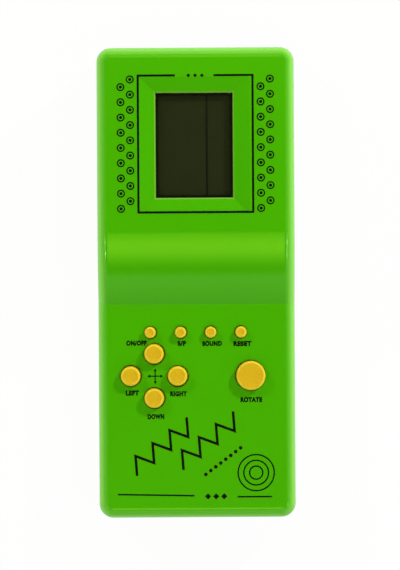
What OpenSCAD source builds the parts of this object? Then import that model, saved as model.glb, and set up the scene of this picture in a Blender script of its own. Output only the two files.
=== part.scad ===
// Handheld game console: two shells, a raised screen, a rubber keypad and a battery bay behind the screen.
// Millimetres. X is to the right, Y towards the screen end and Z out of the front face.
// The origin lies under the middle of the case, on its flat back.

/* [Case] */
// Overall length
body_l = 180; // [172:1:196]
// Overall width
body_w = 75.4; // [73:0.2:88]
// Thickness at the keypad
keypad_h = 21.5; // [20.5:0.5:26]
// Wall thickness of both shells
wall = 2; // [1.6:0.1:2.4]
// Radius of the rounded front edges
edge_r = 4; // [3:0.1:5]
// Radius of the rounded back edges
back_r = 3; // [2.6:0.1:3.6]
// Radius of the four case corners, seen from the front
corner_r = 5.5; // [5.3:0.1:8]
// Height of the seam between the two shells
seam_z = 11; // [10:0.1:12.5]
// Open gap along the seam
seam_gap = 0.15; // [0.05:0.05:0.3]
// Height of the locating lip above the seam
lip_h = 1.5; // [1:0.1:2.5]
// Thickness of the locating lip
lip_t = 1; // [0.8:0.1:1.3]

/* [Hump] */
// Height of the screen face above the keypad face
step_h = 8.5; // [7.5:0.1:11]
// Distance from the screen end to where the screen face starts to roll over
hump_from_end = 69.7; // [66:0.1:74]
// Steepest angle of the slope between the two faces
step_angle = 32; // [28:1:36]
// Radius of the hollow at the foot of the slope
valley_r = 9; // [6:0.5:13]

/* [Screen] */
// Visible width of the screen
window_w = 29.6; // [26:0.1:34]
// Visible height of the screen
window_h = 40.2; // [36:0.1:44]
// Distance from the screen end to the middle of the screen
window_from_end = 37.4; // [35:0.1:40]
// Width of the sunken bevel beside the screen
bevel_side = 7.2; // [5:0.1:9]
// Width of the sunken bevel above and below the screen
bevel_end = 6; // [4:0.1:8]
// Depth of the sunken bevel at the screen's edge
bevel_d = 1.6; // [1:0.1:2.2]
// Thickness of the rim around the screen
rim_t = 1.6; // [1.2:0.1:2.2]
// Thickness of the clear lens
lens_t = 1; // [0.8:0.1:1.4]
// How far the lens and the glass reach past the visible screen
glass_margin = 3; // [2:0.1:4]
// Thickness of the foam gasket under the lens
gasket_t = 0.5; // [0.3:0.1:0.8]
// Thickness of the polariser film
polariser_t = 0.2; // [0.15:0.05:0.3]
// Thickness of each pane of display glass
pane_t = 0.7; // [0.5:0.1:1.1]
// Thickness of the reflector film
reflector_t = 0.2; // [0.15:0.05:0.3]
// Thickness of the carrier's base and walls
carrier_t = 1.5; // [1.2:0.1:2]
// Distance of the carrier's screws from the middle of the screen, along the case
carrier_screw_y = 16; // [12:0.5:18]
// Width of the ribbon between the display and the board
ribbon_w = 28; // [20:1:32]
// Thickness of the ribbon
ribbon_t = 0.2; // [0.15:0.05:0.3]

/* [Keys] */
// Diameter of the four small keys
small_d = 4.7; // [4.4:0.1:5]
// Diameter of the four direction keys
direction_d = 8.1; // [7.6:0.1:8.5]
// Diameter of the large key
large_d = 11.5; // [10:0.1:13]
// Height of the small keys above the face
small_rise = 2.2; // [1.6:0.1:3]
// Height of the direction keys and the large key above the face
large_rise = 2.7; // [1.8:0.1:3.5]
// Key travel
travel = 1.2; // [0.8:0.1:1.5]
// Distance between the small keys
row_pitch = 11.6; // [10:0.1:13]
// Distance of the small keys' row below the foot of the slope
row_drop = 9.5; // [8.5:0.1:11]
// Distance of the direction pad's middle below the small keys' row
pad_drop = 16.7; // [16.5:0.1:19]
// Distance of the direction pad's middle left of the case's middle
pad_left = 16.4; // [15:0.1:18]
// Distance of the left and right keys from the direction pad's middle
pad_reach_x = 9; // [8.7:0.1:10]
// Distance of the up and down keys from the direction pad's middle
pad_reach_y = 8.5; // [8.3:0.1:8.8]
// Distance of the large key right of the case's middle
large_right = 20.7; // [18:0.1:23]
// Gap around a key in its hole
key_gap = 0.25; // [0.15:0.05:0.4]
// Width of the flange that keeps a key in the case
flange_w = 0.7; // [0.6:0.05:0.75]
// Thickness of that flange
flange_t = 1.2; // [0.8:0.1:1.6]
// Length of the stem under the flange
stem_l = 2.5; // [2:0.1:3]
// Radius of the keys' rounded rims
key_round = 0.7; // [0.4:0.1:1]
// Depth of the dished key tops
key_dish = 0.25; // [0.1:0.05:0.4]
// Thickness of the rubber mat
mat_t = 1; // [0.8:0.1:1.4]
// Thickness of the rubber above a contact pill
dome_crown = 1.5; // [1.2:0.1:2]
// Thickness of the conductive contact pills
pill_t = 0.8; // [0.5:0.1:1]

/* [Board] */
// Thickness of the circuit board
board_t = 1.6; // [1.2:0.2:2]
// Reach of the board above the small keys' row
board_above = 22.5; // [21:0.5:24]
// Diameter of the chip's round cover
blob_d = 14; // [10:0.5:18]
// Height of the chip's round cover
blob_h = 1.6; // [1:0.1:2.4]
// Diameter of the filter capacitor
capacitor_d = 5; // [4:0.5:6.5]
// Length of the filter capacitor
capacitor_l = 5; // [4:0.5:6]
// Diameter of the buzzer's brass plate
buzzer_d = 27; // [20:1:29]
// Thickness of the buzzer's brass plate
buzzer_t = 0.3; // [0.2:0.05:0.5]
// Diameter of the ceramic disc on the brass plate
ceramic_d = 19; // [14:0.5:20]
// Thickness of the ceramic disc
ceramic_t = 0.2; // [0.15:0.05:0.3]
// Radius of the sound holes in the back
sound_hole_r = 0.9; // [0.7:0.1:1.2]
// Distance of the buzzer's middle below the direction pad's middle
buzzer_drop = 12; // [8:0.5:18]
// Diameter of the insulated leads
lead_d = 1.2; // [0.9:0.1:1.3]

/* [Battery bay] */
// Diameter of a battery cell
cell_d = 14.5; // [13.5:0.1:14.9]
// Length of a battery cell with its nub
cell_l = 50.5; // [48:0.5:52]
// Length of the cell springs when the cells are in
spring_l = 6; // [4:0.1:7]
// Diameter of the spring wire
spring_wire = 0.8; // [0.6:0.1:0.9]
// Thickness of the contact plates
contact_t = 0.4; // [0.3:0.05:0.5]
// Wall thickness of the bay
bay_t = 1.4; // [1.2:0.1:1.8]
// Thickness of the battery door
door_t = 1.7; // [1.3:0.1:1.75]
// Width of the ledge that the door rests on
ledge_w = 1.5; // [1.2:0.1:2]
// Width of each hook on the door
hook_w = 8; // [5:0.5:12]
// Reach of the hooks past the door's edge
hook_reach = 2; // [1.5:0.1:2.3]

/* [Screws] */
// Shank diameter of the case screws
case_shank_d = 2.6; // [2.2:0.1:3]
// Length of the case screws under the head
case_screw_l = 10; // [8:0.5:12]
// Distance of the case screws' seats below the seam
case_seat = 5; // [3.5:0.5:6]
// Wall around the screws in the front shell's bosses
boss_wall = 1.9; // [1.5:0.1:2.1]
// Shank diameter of the small screws on the board and the carrier
small_shank_d = 2; // [1.6:0.1:2.2]
// Length of the small screws under the head
small_screw_l = 6; // [5:0.5:6.5]

/* [Hidden] */
$fn = 64;

// Small clearances that several pieces share
touch = 0.02;
fit = 0.05;
slip = 0.15;
free = 0.3;
past = 1;

// Places along the case
half_l = body_l / 2;
half_w = body_w / 2;
screen_z = keypad_h + step_h;
hump_y = half_l - hump_from_end;
hump_r = step_h / (1 - cos(step_angle)) - valley_r;
valley_y = hump_y - (hump_r + valley_r) * sin(step_angle);
bend_y = hump_y - hump_r * sin(step_angle);
window_y = half_l - window_from_end;
row_y = valley_y - row_drop;
pad_y = row_y - pad_drop;

// The locating lip and the inner faces that it leaves
lip_in = wall + slip + lip_t;
inner_x = half_w - lip_in;

// Screws and their bosses
head_share = 1.9;
head_h_share = 0.65;
small_head_d = head_share * small_shank_d;
small_head_h = head_h_share * small_shank_d;
case_head_d = head_share * case_shank_d;
case_head_h = head_h_share * case_shank_d;
case_boss_r = case_shank_d / 2 + boss_wall;
small_boss_r = small_shank_d / 2 + boss_wall * 0.75;
well_r = case_head_d / 2 + free;
well_wall = boss_wall * 0.7;
case_seat_z = seam_z - case_seat;
case_screw_x = inner_x - free - case_boss_r;
case_screw_y = half_l - lip_in - free - case_boss_r;

// Stack of the keypad, from the front wall down to the board
flange_top = keypad_h - wall - slip;
flange_bottom = flange_top - flange_t;
stem_bottom = flange_bottom - stem_l;
pill_lift = travel + fit;
dome_ceiling = pill_lift + pill_t;
dome_h = dome_ceiling + dome_crown;
board_top = stem_bottom - fit - dome_h;
board_bottom = board_top - board_t;
board_y1 = row_y + board_above;
board_y0 = 2 * free + well_r + well_wall - case_screw_y;
board_x = inner_x - 2 * free;
board_edge = 1.5;
board_screw_inset = small_boss_r + board_edge;

// Keys: name, X, Y, radius, rise above the face
row_shift = -0.4;
function row_x(i) = row_shift + (i - 1.5) * row_pitch;
KEYS = [
    ["power", row_x(0), row_y, small_d / 2, small_rise],
    ["start", row_x(1), row_y, small_d / 2, small_rise],
    ["sound", row_x(2), row_y, small_d / 2, small_rise],
    ["reset", row_x(3), row_y, small_d / 2, small_rise],
    ["up", -pad_left, pad_y + pad_reach_y, direction_d / 2, large_rise],
    ["left", -pad_left - pad_reach_x, pad_y, direction_d / 2, large_rise],
    ["right", -pad_left + pad_reach_x, pad_y, direction_d / 2, large_rise],
    ["down", -pad_left, pad_y - pad_reach_y, direction_d / 2, large_rise],
    ["rotate", large_right, pad_y, large_d / 2, large_rise]
];

// Rubber domes: how far each ring lies inside the dome's foot
dome_foot = 0.3;
dome_shoulder = 0.3;
dome_bore = 0.7;
dome_top = 1.1;
dome_ceiling_edge = 1.45;
pill_edge = 1.6;
stem_edge = 1.2;
mat_margin = 2.2;
function foot_r(key) = key[3] + dome_foot;
mat_x0 = KEYS[5][1] - foot_r(KEYS[5]) - mat_margin;
mat_x1 = KEYS[8][1] + foot_r(KEYS[8]) + mat_margin;
mat_y0 = KEYS[7][2] - foot_r(KEYS[7]) - mat_margin;
mat_y1 = row_y + foot_r(KEYS[0]) + mat_margin;

// Stack of the display, from the rim down to the carrier
rim_z = screen_z - bevel_d - rim_t;
lens_top = rim_z - fit;
gasket_top = lens_top - lens_t;
polariser_top = gasket_top - gasket_t;
front_glass_top = polariser_top - polariser_t - touch;
rear_glass_top = front_glass_top - pane_t - touch;
reflector_top = rear_glass_top - pane_t - touch;
carrier_top = reflector_top - reflector_t - touch;
carrier_bottom = carrier_top - carrier_t;
glass_x = window_w / 2 + glass_margin;
glass_y = window_h / 2 + glass_margin;
contact_ledge = 3;
carrier_x = glass_x + free + carrier_t;
carrier_y = glass_y + free + carrier_t;
rim_x = window_w / 2 + bevel_side + wall / 2;
rim_y = window_h / 2 + bevel_end + wall / 2;
carrier_screw_x = carrier_x + small_boss_r + free;

// Battery bay
bay_gap = 0.3;
bay_x = (cell_l + spring_l) / 2 + contact_t + fit;
bay_y = window_y;
bay_half = cell_d + 1.5 * bay_gap;
cell_z = wall + bay_gap + cell_d / 2;
bay_top = cell_z + cell_d / 2 + bay_gap;
cell_offset = (cell_d + bay_gap) / 2;
nub_d = 5.5;
nub_h = 1.2;
plate_w = 9;
plate_h = 10;
tab_w = 3;
tab_z = cell_z + plate_h / 2;
tab_top = bay_top + bay_t + lead_d + slip;

// Battery door and its hinge
door_sink = 0.1;
door_gap = 0.2;
door_x = bay_x + ledge_w;
door_half = bay_half + ledge_w;
door_frame = 2.2;
door_frame_t = 1.5;
hinge_r = 0.5;
hinge_y = bay_y + door_half - hinge_r;
hinge_z = door_sink + hinge_r;
hook_t = 1.1;
hook_z = wall + door_gap;
hook_x = door_x * 0.6;
hook_root = 1.3;
hook_swing = hinge_z + norm([hook_reach + hinge_r, hook_z + hook_t - hinge_z]) + free;

// The middle pair of case screws stands between the bay and the board
mid_screw_y = (bay_y - door_half - door_frame + board_y1) / 2;
CASE_SCREWS = [
    for (sx = [-1, 1], y = [-case_screw_y, mid_screw_y, case_screw_y]) [sx * case_screw_x, y]
];
BOARD_SCREWS = [
    for (sx = [-1, 1], y = [board_y0 + board_screw_inset, board_y1 - board_screw_inset])
        [sx * (board_x - board_screw_inset), y]
];
CARRIER_SCREWS = [
    for (sx = [-1, 1], sy = [-1, 1]) [sx * carrier_screw_x, window_y + sy * carrier_screw_y]
];

// Buzzer and board rests
buzzer_y = pad_y - buzzer_drop;
buzzer_lift = 1.8;
buzzer_seat = wall + buzzer_lift;
buzzer_rim = 0.6;
rest_r = 2;
rest_x = board_x * 0.66;
rest_inset = 8;
row_space = 4;
RESTS = [for (sx = [-1, 1], y = [board_y0 + rest_inset, row_y - row_space]) [sx * rest_x, y]];

// Lead routes: the battery leads run over the bay and down to the board's upper edge
lead_r = lead_d / 2;
lead_start_x = bay_x - 2 * fit - contact_t - lead_r;
lead_z = bay_top + bay_t + lead_r + fit;
lead_space = 3;
lead_bend = 2.5;
bay_end_y = bay_y - bay_half - bay_t;
pad_row_y = board_y1 - lead_bend;
pass_x = case_screw_x - case_boss_r - lead_space;
function lead_end(x) = [
    [x, mid_screw_y + case_boss_r, lead_z - lead_bend],
    [x, pad_row_y + lead_space, board_top + 2 * lead_bend],
    [x, pad_row_y, board_top + lead_bend],
    [x, pad_row_y, board_top + lead_r],
    [x, pad_row_y, board_top + fit]
];
POSITIVE_ROUTE = concat([
    [lead_start_x, bay_y + cell_offset, lead_z],
    [lead_start_x - lead_bend, bay_y + lead_bend, lead_z],
    [lead_start_x - lead_bend, bay_y - cell_offset, lead_z],
    [lead_start_x - lead_bend, bay_end_y, lead_z]
], lead_end(pass_x - lead_space));
NEGATIVE_ROUTE = concat([
    [lead_start_x, bay_y - cell_offset, lead_z],
    [lead_start_x, bay_y - cell_offset - lead_bend, lead_z],
    [lead_start_x, bay_end_y, lead_z]
], lead_end(pass_x));

// A buzzer lead rises straight off the disc, runs across and ends under the board
function buzzer_route(x0, z0, x1) = let (
    across_y = buzzer_y - lead_bend,
    end_y = across_y - lead_bend,
    mid_z = (z0 + board_bottom) / 2,
    turn = sign(x1 - x0) * lead_space
) [
    [x0, buzzer_y, z0 + fit],
    [x0, buzzer_y, z0 + lead_r],
    [x0, buzzer_y, z0 + lead_bend],
    [x0 + turn, across_y, mid_z],
    [x1 - turn, across_y, mid_z],
    [x1, end_y, board_bottom - lead_bend],
    [x1, end_y, board_bottom - lead_r],
    [x1, end_y, board_bottom - fit]
];

// Shape helpers

// Extrudes an outline drawn in Y and Z along X, centred
module along_x(length) {
    rotate([90, 0, 90]) linear_extrude(length, center = true) children();
}

// Extrudes an outline drawn in X and Z along Y, from 0
module along_y(length) {
    translate([0, length, 0]) rotate([90, 0, 0]) linear_extrude(length) children();
}

// A quarter disc in the first quadrant
module quarter(r) {
    intersection() {
        circle(r);
        square(r);
    }
}

// A rectangle with round corners, centred
module round_rect(w, l, r) {
    square([w, l - 2 * r], center = true);
    square([w - 2 * r, l], center = true);
    for (sx = [-1, 1], sy = [-1, 1])
        translate([sx * (w / 2 - r), sy * (l / 2 - r)]) circle(r);
}

// Half of a wall's section: a run outwards that ends in a rounded top edge, set in by t
module edge_section(run, top, er, t, low) {
    translate([0, low]) square([run - er, top - t - low]);
    translate([0, low]) square([run - t, top - er - low]);
    translate([run - er, top - er]) quarter(er - t);
}

// One end of the case from Y 0 to its end wall, with a rounded top edge and corners, set in by t
module case_end(reach, top, er, t, low) {
    straight = reach - corner_r;
    along_y(straight) {
        edge_section(half_w, top, er, t, low);
        mirror([1, 0]) edge_section(half_w, top, er, t, low);
    }
    translate([0, straight, 0]) {
        along_x(body_w - 2 * corner_r) edge_section(corner_r, top, er, t, low);
        for (side = [0, 1])
            mirror([side, 0, 0])
                translate([half_w - corner_r, 0, 0])
                    rotate_extrude(angle = 90) edge_section(corner_r, top, er, t, low);
    }
}

// The front surface's height at a place along the case
function face_z(y) =
    y >= hump_y ? screen_z :
    y <= valley_y ? keypad_h :
    y >= bend_y ? screen_z - hump_r + sqrt(pow(hump_r, 2) - pow(hump_y - y, 2)) :
    keypad_h + valley_r - sqrt(pow(valley_r, 2) - pow(y - valley_y, 2));

// The places along the slope at which its outline is drawn
valley_steps = 6;
hump_steps = 12;
SLOPE_PLACES = concat(
    [valley_y - past],
    [for (k = [0 : valley_steps]) valley_y + valley_r * sin(step_angle * k / valley_steps)],
    [for (k = [1 : hump_steps]) hump_y - hump_r * sin(step_angle * (1 - k / hump_steps))],
    [hump_y + past]
);

// The case's outline across the slope, with rounded edges
edge_steps = 8;
skin = 0.005;
function slope_ring(y, low) = let (x = half_w - skin, top = face_z(y) - skin) concat(
    [[-x, y, low]],
    [for (k = [0 : edge_steps]) let (a = 90 * k / edge_steps)
        [edge_r * (1 - cos(a)) - x, y, top - edge_r * (1 - sin(a))]],
    [for (k = [edge_steps : -1 : 0]) let (a = 90 * k / edge_steps)
        [x - edge_r * (1 - cos(a)), y, top - edge_r * (1 - sin(a))]],
    [[x, y, low]]
);

// The side outline of the hollow under the slope, set in by t
module slope_section(t, low) {
    meet_y = bend_y + t * sin(step_angle);
    difference() {
        translate([valley_y - past, low]) square([meet_y - valley_y + past, keypad_h + valley_r / 2 - low]);
        translate([valley_y, keypad_h + valley_r]) circle(valley_r + t);
    }
    intersection() {
        translate([meet_y, low]) square([hump_y - meet_y + past, screen_z - low]);
        translate([hump_y, screen_z - hump_r]) circle(hump_r - t);
    }
}

// The two ends of the front body above a height, set in by t
module front_ends(t, low) {
    translate([0, hump_y, 0]) case_end(half_l - hump_y, screen_z, edge_r, t, low);
    translate([0, valley_y, 0]) mirror([0, 1, 0]) case_end(half_l + valley_y, keypad_h, edge_r, t, low);
}

// The whole front body above a height
module front_body(low) {
    front_ends(0, low);
    loft([for (y = SLOPE_PLACES) slope_ring(y, low)]);
}

// The hollow of the front body above a height, set in by t
module front_hollow(t, low) {
    front_ends(t, low);
    along_x(body_w - 2 * edge_r) slope_section(t + slip, low);
    along_x(body_w - 2 * t - 2 * fit) slope_section(edge_r, low);
}

// The rear body below a height, set in by t
module rear_body(t, high) {
    for (end = [0, 1])
        mirror([0, end, 0]) mirror([0, 0, 1]) case_end(half_l, 0, back_r, t, -high);
}

// A box given by two corners
module box(low, high) {
    translate(low) cube(high - low);
}

// Upright cylinders at a list of places, between two heights
module posts(places, r, low, high) {
    for (p = places) translate([p[0], p[1], low]) cylinder(r = r, h = high - low);
}

// Tube along a smooth curve through a list of points
function curve_point(a, b, c, d, u) =
    0.5 * (2 * b + (c - a) * u + (2 * a - 5 * b + 4 * c - d) * u * u + (3 * b - a - 3 * c + d) * u * u * u);
function curve(p, steps) = [
    for (i = [0 : len(p) - 2], k = [0 : steps - 1])
        curve_point(p[max(i - 1, 0)], p[i], p[i + 1], p[min(i + 2, len(p) - 1)], k / steps),
    p[len(p) - 1]
];
function unit(v) = v / norm(v);
function direction(p, i) = unit(p[min(i + 1, len(p) - 1)] - p[max(i - 1, 0)]);
function across(v) = unit(cross(v, abs(v[2]) > 0.9 ? [1, 0, 0] : [0, 0, 1]));
function carried(v, side) = unit(side - v * (side * v));
function sides(p, i = 0, last = undef) =
    i == len(p) ? [] :
    let (v = direction(p, i), s = is_undef(last) ? across(v) : carried(v, last))
        concat([s], sides(p, i + 1, s));
function tube_ring(p, i, side, r, n) = [
    for (k = [0 : n - 1]) let (a = 360 * k / n)
        p[i] + r * (cos(a) * side + sin(a) * cross(direction(p, i), side))
];
module tube(p, r, n) {
    frames = sides(p);
    loft([for (i = [0 : len(p) - 1]) tube_ring(p, i, frames[i], r, n)]);
}

// Solid through a list of rings, each with the same number of points
module loft(rings) {
    n = len(rings[0]);
    last = (len(rings) - 1) * n;
    walls = [
        for (i = [0 : len(rings) - 2], k = [0 : n - 1])
            let (a = i * n + k, b = i * n + (k + 1) % n)
                each [[a, a + n, b], [b, a + n, b + n]]
    ];
    ends = [for (k = [1 : n - 2]) each [[0, k, k + 1], [last, last + k + 1, last + k]]];
    polyhedron([for (ring = rings) each ring], concat(walls, ends));
}

// Case

module window_cut() {
    flare_x = window_w / 2 + bevel_side;
    flare_y = window_h / 2 + bevel_end;
    slope_x = bevel_side / bevel_d;
    slope_y = bevel_end / bevel_d;
    depth = screen_z - bevel_d;
    translate([0, window_y, 0]) {
        box([-window_w / 2, -window_h / 2, rim_z - past], [window_w / 2, window_h / 2, screen_z + past]);
        intersection() {
            along_x(2 * (flare_x + slope_x * past)) polygon([
                [-window_h / 2, depth], [window_h / 2, depth],
                [flare_y + slope_y * past, screen_z + past], [-flare_y - slope_y * past, screen_z + past]
            ]);
            translate([0, -flare_y - slope_y * past, 0]) along_y(2 * (flare_y + slope_y * past)) polygon([
                [-window_w / 2, depth], [window_w / 2, depth],
                [flare_x + slope_x * past, screen_z + past], [-flare_x - slope_x * past, screen_z + past]
            ]);
        }
    }
}

module front_shell() color("limegreen") {
    low = seam_z + seam_gap;
    difference() {
        union() {
            difference() {
                front_body(low);
                front_hollow(wall, low - past);
            }
            translate([0, window_y, 0])
                box([-rim_x, -rim_y, rim_z], [rim_x, rim_y, screen_z - wall + fit]);
            intersection() {
                union() {
                    posts(CASE_SCREWS, case_boss_r, low, screen_z);
                    posts(BOARD_SCREWS, small_boss_r, board_top + fit, screen_z);
                    posts(CARRIER_SCREWS, small_boss_r, carrier_top + fit, screen_z);
                }
                front_hollow(wall / 2, low - past);
            }
        }
        window_cut();
        for (key = KEYS)
            translate([key[1], key[2], board_top]) cylinder(r = key[3] + key_gap, h = screen_z - board_top);
        posts(CASE_SCREWS, case_shank_d / 2 + fit, low - past, case_seat_z + case_screw_l + free);
        posts(BOARD_SCREWS, small_shank_d / 2 + fit, board_top, board_bottom + small_screw_l + free);
        posts(CARRIER_SCREWS, small_shank_d / 2 + fit, carrier_top, carrier_bottom + small_screw_l + free);
    }
}

module lip() {
    root = 2.5;
    translate([0, 0, seam_z - root]) linear_extrude(root + lip_h) difference() {
        round_rect(body_w - 2 * (wall + slip), body_l - 2 * (wall + slip), corner_r - wall - slip);
        round_rect(body_w - 2 * lip_in, body_l - 2 * lip_in, corner_r - lip_in);
    }
    translate([0, 0, seam_z - root]) linear_extrude(root - free) difference() {
        round_rect(body_w - wall, body_l - wall, corner_r - wall / 2);
        round_rect(body_w - 2 * lip_in + lip_t, body_l - 2 * lip_in + lip_t, corner_r - lip_in + lip_t / 2);
    }
}

module bay_block() {
    translate([0, bay_y, 0]) {
        box([-bay_x - bay_t, -bay_half - bay_t, wall], [bay_x + bay_t, bay_half + bay_t, bay_top + bay_t]);
        box(
            [-door_x - door_frame, -door_half - door_frame, wall - fit],
            [door_x + door_frame, door_half + door_frame, wall + door_frame_t]
        );
    }
}

module bay_cuts() {
    open_x = door_x + door_gap;
    open_y = door_half + door_gap;
    hook_open = hook_w / 2 + 2 * door_gap;
    tab_open = tab_w / 2 + slip;
    scoop_r = 8;
    translate([0, bay_y, 0]) {
        box([-bay_x, -bay_half, -past], [bay_x, bay_half, bay_top]);
        box([-open_x, -open_y, -past], [open_x, open_y, wall]);
        for (sx = [-1, 1]) translate([sx * hook_x, 0, 0])
            box(
                [-hook_open, bay_half - past, wall - fit],
                [hook_open, door_half + hook_reach + free, hook_swing]
            );
        for (sy = [-1, 1]) translate([bay_x, sy * cell_offset, bay_top])
            box([-contact_t - slip - fit, -tab_open, -past], [0, tab_open, bay_t + past]);
        translate([0, -open_y, -scoop_r + wall / 2]) sphere(scoop_r);
    }
}

module sound_holes() {
    ring_gap = 4;
    translate([0, buzzer_y, -past]) {
        cylinder(r = sound_hole_r, h = wall + 2 * past);
        for (ring = [1, 2], k = [1 : 6 * ring]) rotate([0, 0, 60 * k / ring])
            translate([ring * ring_gap, 0, 0]) cylinder(r = sound_hole_r, h = wall + 2 * past);
    }
}

module buzzer_ring() {
    wide = buzzer_d / 2 + slip;
    ring_wall = 1.3;
    seat_w = 2.2;
    translate([0, buzzer_y, wall - fit]) difference() {
        cylinder(r = wide + ring_wall, h = buzzer_seat + buzzer_rim - wall + fit);
        translate([0, 0, buzzer_seat - wall + fit]) cylinder(r = wide, h = past);
        translate([0, 0, fit]) cylinder(r = wide - seat_w, h = buzzer_seat);
    }
}

module rear_shell() color("limegreen") difference() {
    union() {
        difference() {
            rear_body(0, seam_z);
            rear_body(wall, seam_z + past);
        }
        lip();
        posts(CASE_SCREWS, well_r + well_wall, wall - fit, seam_z);
        posts(RESTS, rest_r, wall - fit, board_bottom - free);
        bay_block();
        buzzer_ring();
    }
    bay_cuts();
    sound_holes();
    posts(CASE_SCREWS, well_r, -past, case_seat_z);
    posts(CASE_SCREWS, case_shank_d / 2 + slip, case_seat_z - past, seam_z + past);
}

module battery_door() color("limegreen") {
    groove_w = 1;
    groove_d = 0.5;
    groove_pitch = 2.2;
    grooves = 5;
    grip_l = 24;
    grip_from_edge = 3;
    slot_l = 8;
    tongue_w = 14;
    top = door_sink + door_t;
    translate([0, bay_y, 0]) difference() {
        union() {
            along_x(2 * door_x) {
                translate([-door_half, door_sink]) square([2 * door_half - hinge_r, door_t]);
                translate([-door_half, hinge_z]) square([2 * door_half, door_t - hinge_r]);
                translate([door_half - hinge_r, hinge_z]) mirror([0, 1]) quarter(hinge_r);
            }
            for (sx = [-1, 1]) translate([sx * hook_x, door_half, 0]) along_x(hook_w) {
                translate([-hook_root, top - fit]) square([hook_root, hook_z + hook_t - top + fit]);
                translate([-hook_root, hook_z]) square([hook_root + hook_reach, hook_t]);
            }
        }
        for (k = [0 : grooves - 1])
            translate([-grip_l / 2, grip_from_edge - door_half + groove_pitch * k, -past])
                cube([grip_l, groove_w, door_sink + groove_d + past]);
        for (sx = [-1, 1]) translate([sx * tongue_w, 0, 0])
            box([-groove_w / 2, -door_half - past, -past], [groove_w / 2, slot_l - door_half, top + past]);
    }
}

// Screws

module screw(shank_d, head_d, head_h, length) {
    drive_w = 0.16 * head_d;
    drive_l = 0.6 * head_d;
    tip_d = shank_d / 3;
    difference() {
        union() {
            translate([0, 0, -head_h]) cylinder(d = head_d, h = head_h);
            cylinder(d = shank_d, h = length - shank_d);
            translate([0, 0, length - shank_d]) cylinder(d1 = shank_d, d2 = tip_d, h = shank_d);
        }
        for (turn = [0, 90]) rotate([0, 0, turn])
            translate([-drive_l / 2, -drive_w / 2, -head_h - past])
                cube([drive_l, drive_w, head_h / 2 + past]);
    }
}

module screws(places, seat_z, shank_d, head_d, head_h, length) {
    for (p = places) translate([p[0], p[1], seat_z - touch]) screw(shank_d, head_d, head_h, length);
}

module case_screws() color("silver")
    screws(CASE_SCREWS, case_seat_z, case_shank_d, case_head_d, case_head_h, case_screw_l);

module carrier_screws() color("silver")
    screws(CARRIER_SCREWS, carrier_bottom, small_shank_d, small_head_d, small_head_h, small_screw_l);

module board_screws() color("silver")
    screws(BOARD_SCREWS, board_bottom, small_shank_d, small_head_d, small_head_h, small_screw_l);

// Display

module pane(x, y0, y1, top, t) {
    translate([0, window_y, 0]) box([-x, y0, top - t], [x, y1, top]);
}

module screen_lens() color("whitesmoke", 0.4) pane(glass_x, -glass_y, glass_y, lens_top, lens_t);

module lens_gasket() color("black") difference() {
    pane(glass_x, -glass_y, glass_y, gasket_top - touch, gasket_t - 2 * touch);
    translate([0, window_y, gasket_top])
        cube([window_w + 2 * free, window_h + 2 * free, gasket_t + 2 * past], center = true);
}

module lcd_polariser() color("darkolivegreen") pane(glass_x, -glass_y, glass_y, polariser_top, polariser_t);

module lcd_front_glass() color("darkseagreen") pane(glass_x, -glass_y, glass_y, front_glass_top, pane_t);

module lcd_rear_glass() color("darkseagreen")
    pane(glass_x, contact_ledge - glass_y, glass_y, rear_glass_top, pane_t);

module lcd_reflector() color("gray")
    pane(glass_x, contact_ledge - glass_y, glass_y, reflector_top, reflector_t);

module lcd_carrier() color("white") {
    lug_r = small_boss_r;
    wall_top = rim_z - free;
    low_y = contact_ledge - glass_y + free;
    inner_h = wall_top - carrier_top + past;
    difference() {
        union() {
            pane(carrier_x, low_y, carrier_y, wall_top, wall_top - carrier_bottom);
            posts(CARRIER_SCREWS, lug_r, carrier_bottom, carrier_top);
            for (p = CARRIER_SCREWS) translate([p[0] / 2, p[1], carrier_bottom + carrier_t / 2])
                cube([carrier_screw_x, 2 * lug_r, carrier_t], center = true);
        }
        pane(glass_x + free, -glass_y - past, glass_y + free, wall_top + past, inner_h);
        posts(CARRIER_SCREWS, small_shank_d / 2 + slip, carrier_bottom - past, carrier_top + past);
    }
}

// A strip of constant thickness along a line of points in Y and Z
function left_of(v) = [-v[1], v[0]];
function strip_edge(p, t) = let (last = len(p) - 1) [
    for (i = [0 : last])
        let (a = unit(p[max(i, 1)] - p[max(i, 1) - 1]), b = unit(p[min(i + 1, last)] - p[min(i, last - 1)]))
            p[i] + t * (left_of(a) + left_of(b)) / (1 + a * b)
];
module strip(p, t) {
    upper = strip_edge(p, t / 2);
    lower = strip_edge(p, -t / 2);
    polygon(concat(upper, [for (i = [len(p) - 1 : -1 : 0]) lower[i]]));
}

module lcd_ribbon() color("orange") {
    glass_z = front_glass_top - pane_t - touch - ribbon_t / 2;
    board_z = board_top + touch + ribbon_t / 2;
    edge = window_y - glass_y;
    bend = 2;
    lap = 5;
    along_x(ribbon_w) strip([
        [edge + contact_ledge - free, glass_z],
        [edge - bend, glass_z],
        [edge - 2 * bend, glass_z - bend / 2],
        [board_y1 + 2 * bend, board_z + bend / 2],
        [board_y1 + bend, board_z],
        [board_y1 - lap, board_z]
    ], ribbon_t);
}

// Keypad

module key_cap(key) color("gold") {
    r = key[3];
    top = keypad_h + key[4];
    dish_r = (pow(r - key_round, 2) + pow(key_dish, 2)) / (2 * key_dish);
    translate([key[1], key[2], 0]) difference() {
        union() {
            rotate_extrude() {
                translate([0, flange_bottom]) square([r, top - key_round - flange_bottom]);
                translate([0, flange_bottom]) square([r - key_round, top - flange_bottom]);
                translate([r - key_round, top - key_round]) quarter(key_round);
            }
            translate([0, 0, flange_bottom]) cylinder(r = r + flange_w, h = flange_t);
            translate([0, 0, stem_bottom]) cylinder(r = foot_r(key) - stem_edge, h = stem_l + fit);
        }
        translate([0, 0, top - key_dish + dish_r]) sphere(dish_r);
    }
}

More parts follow.
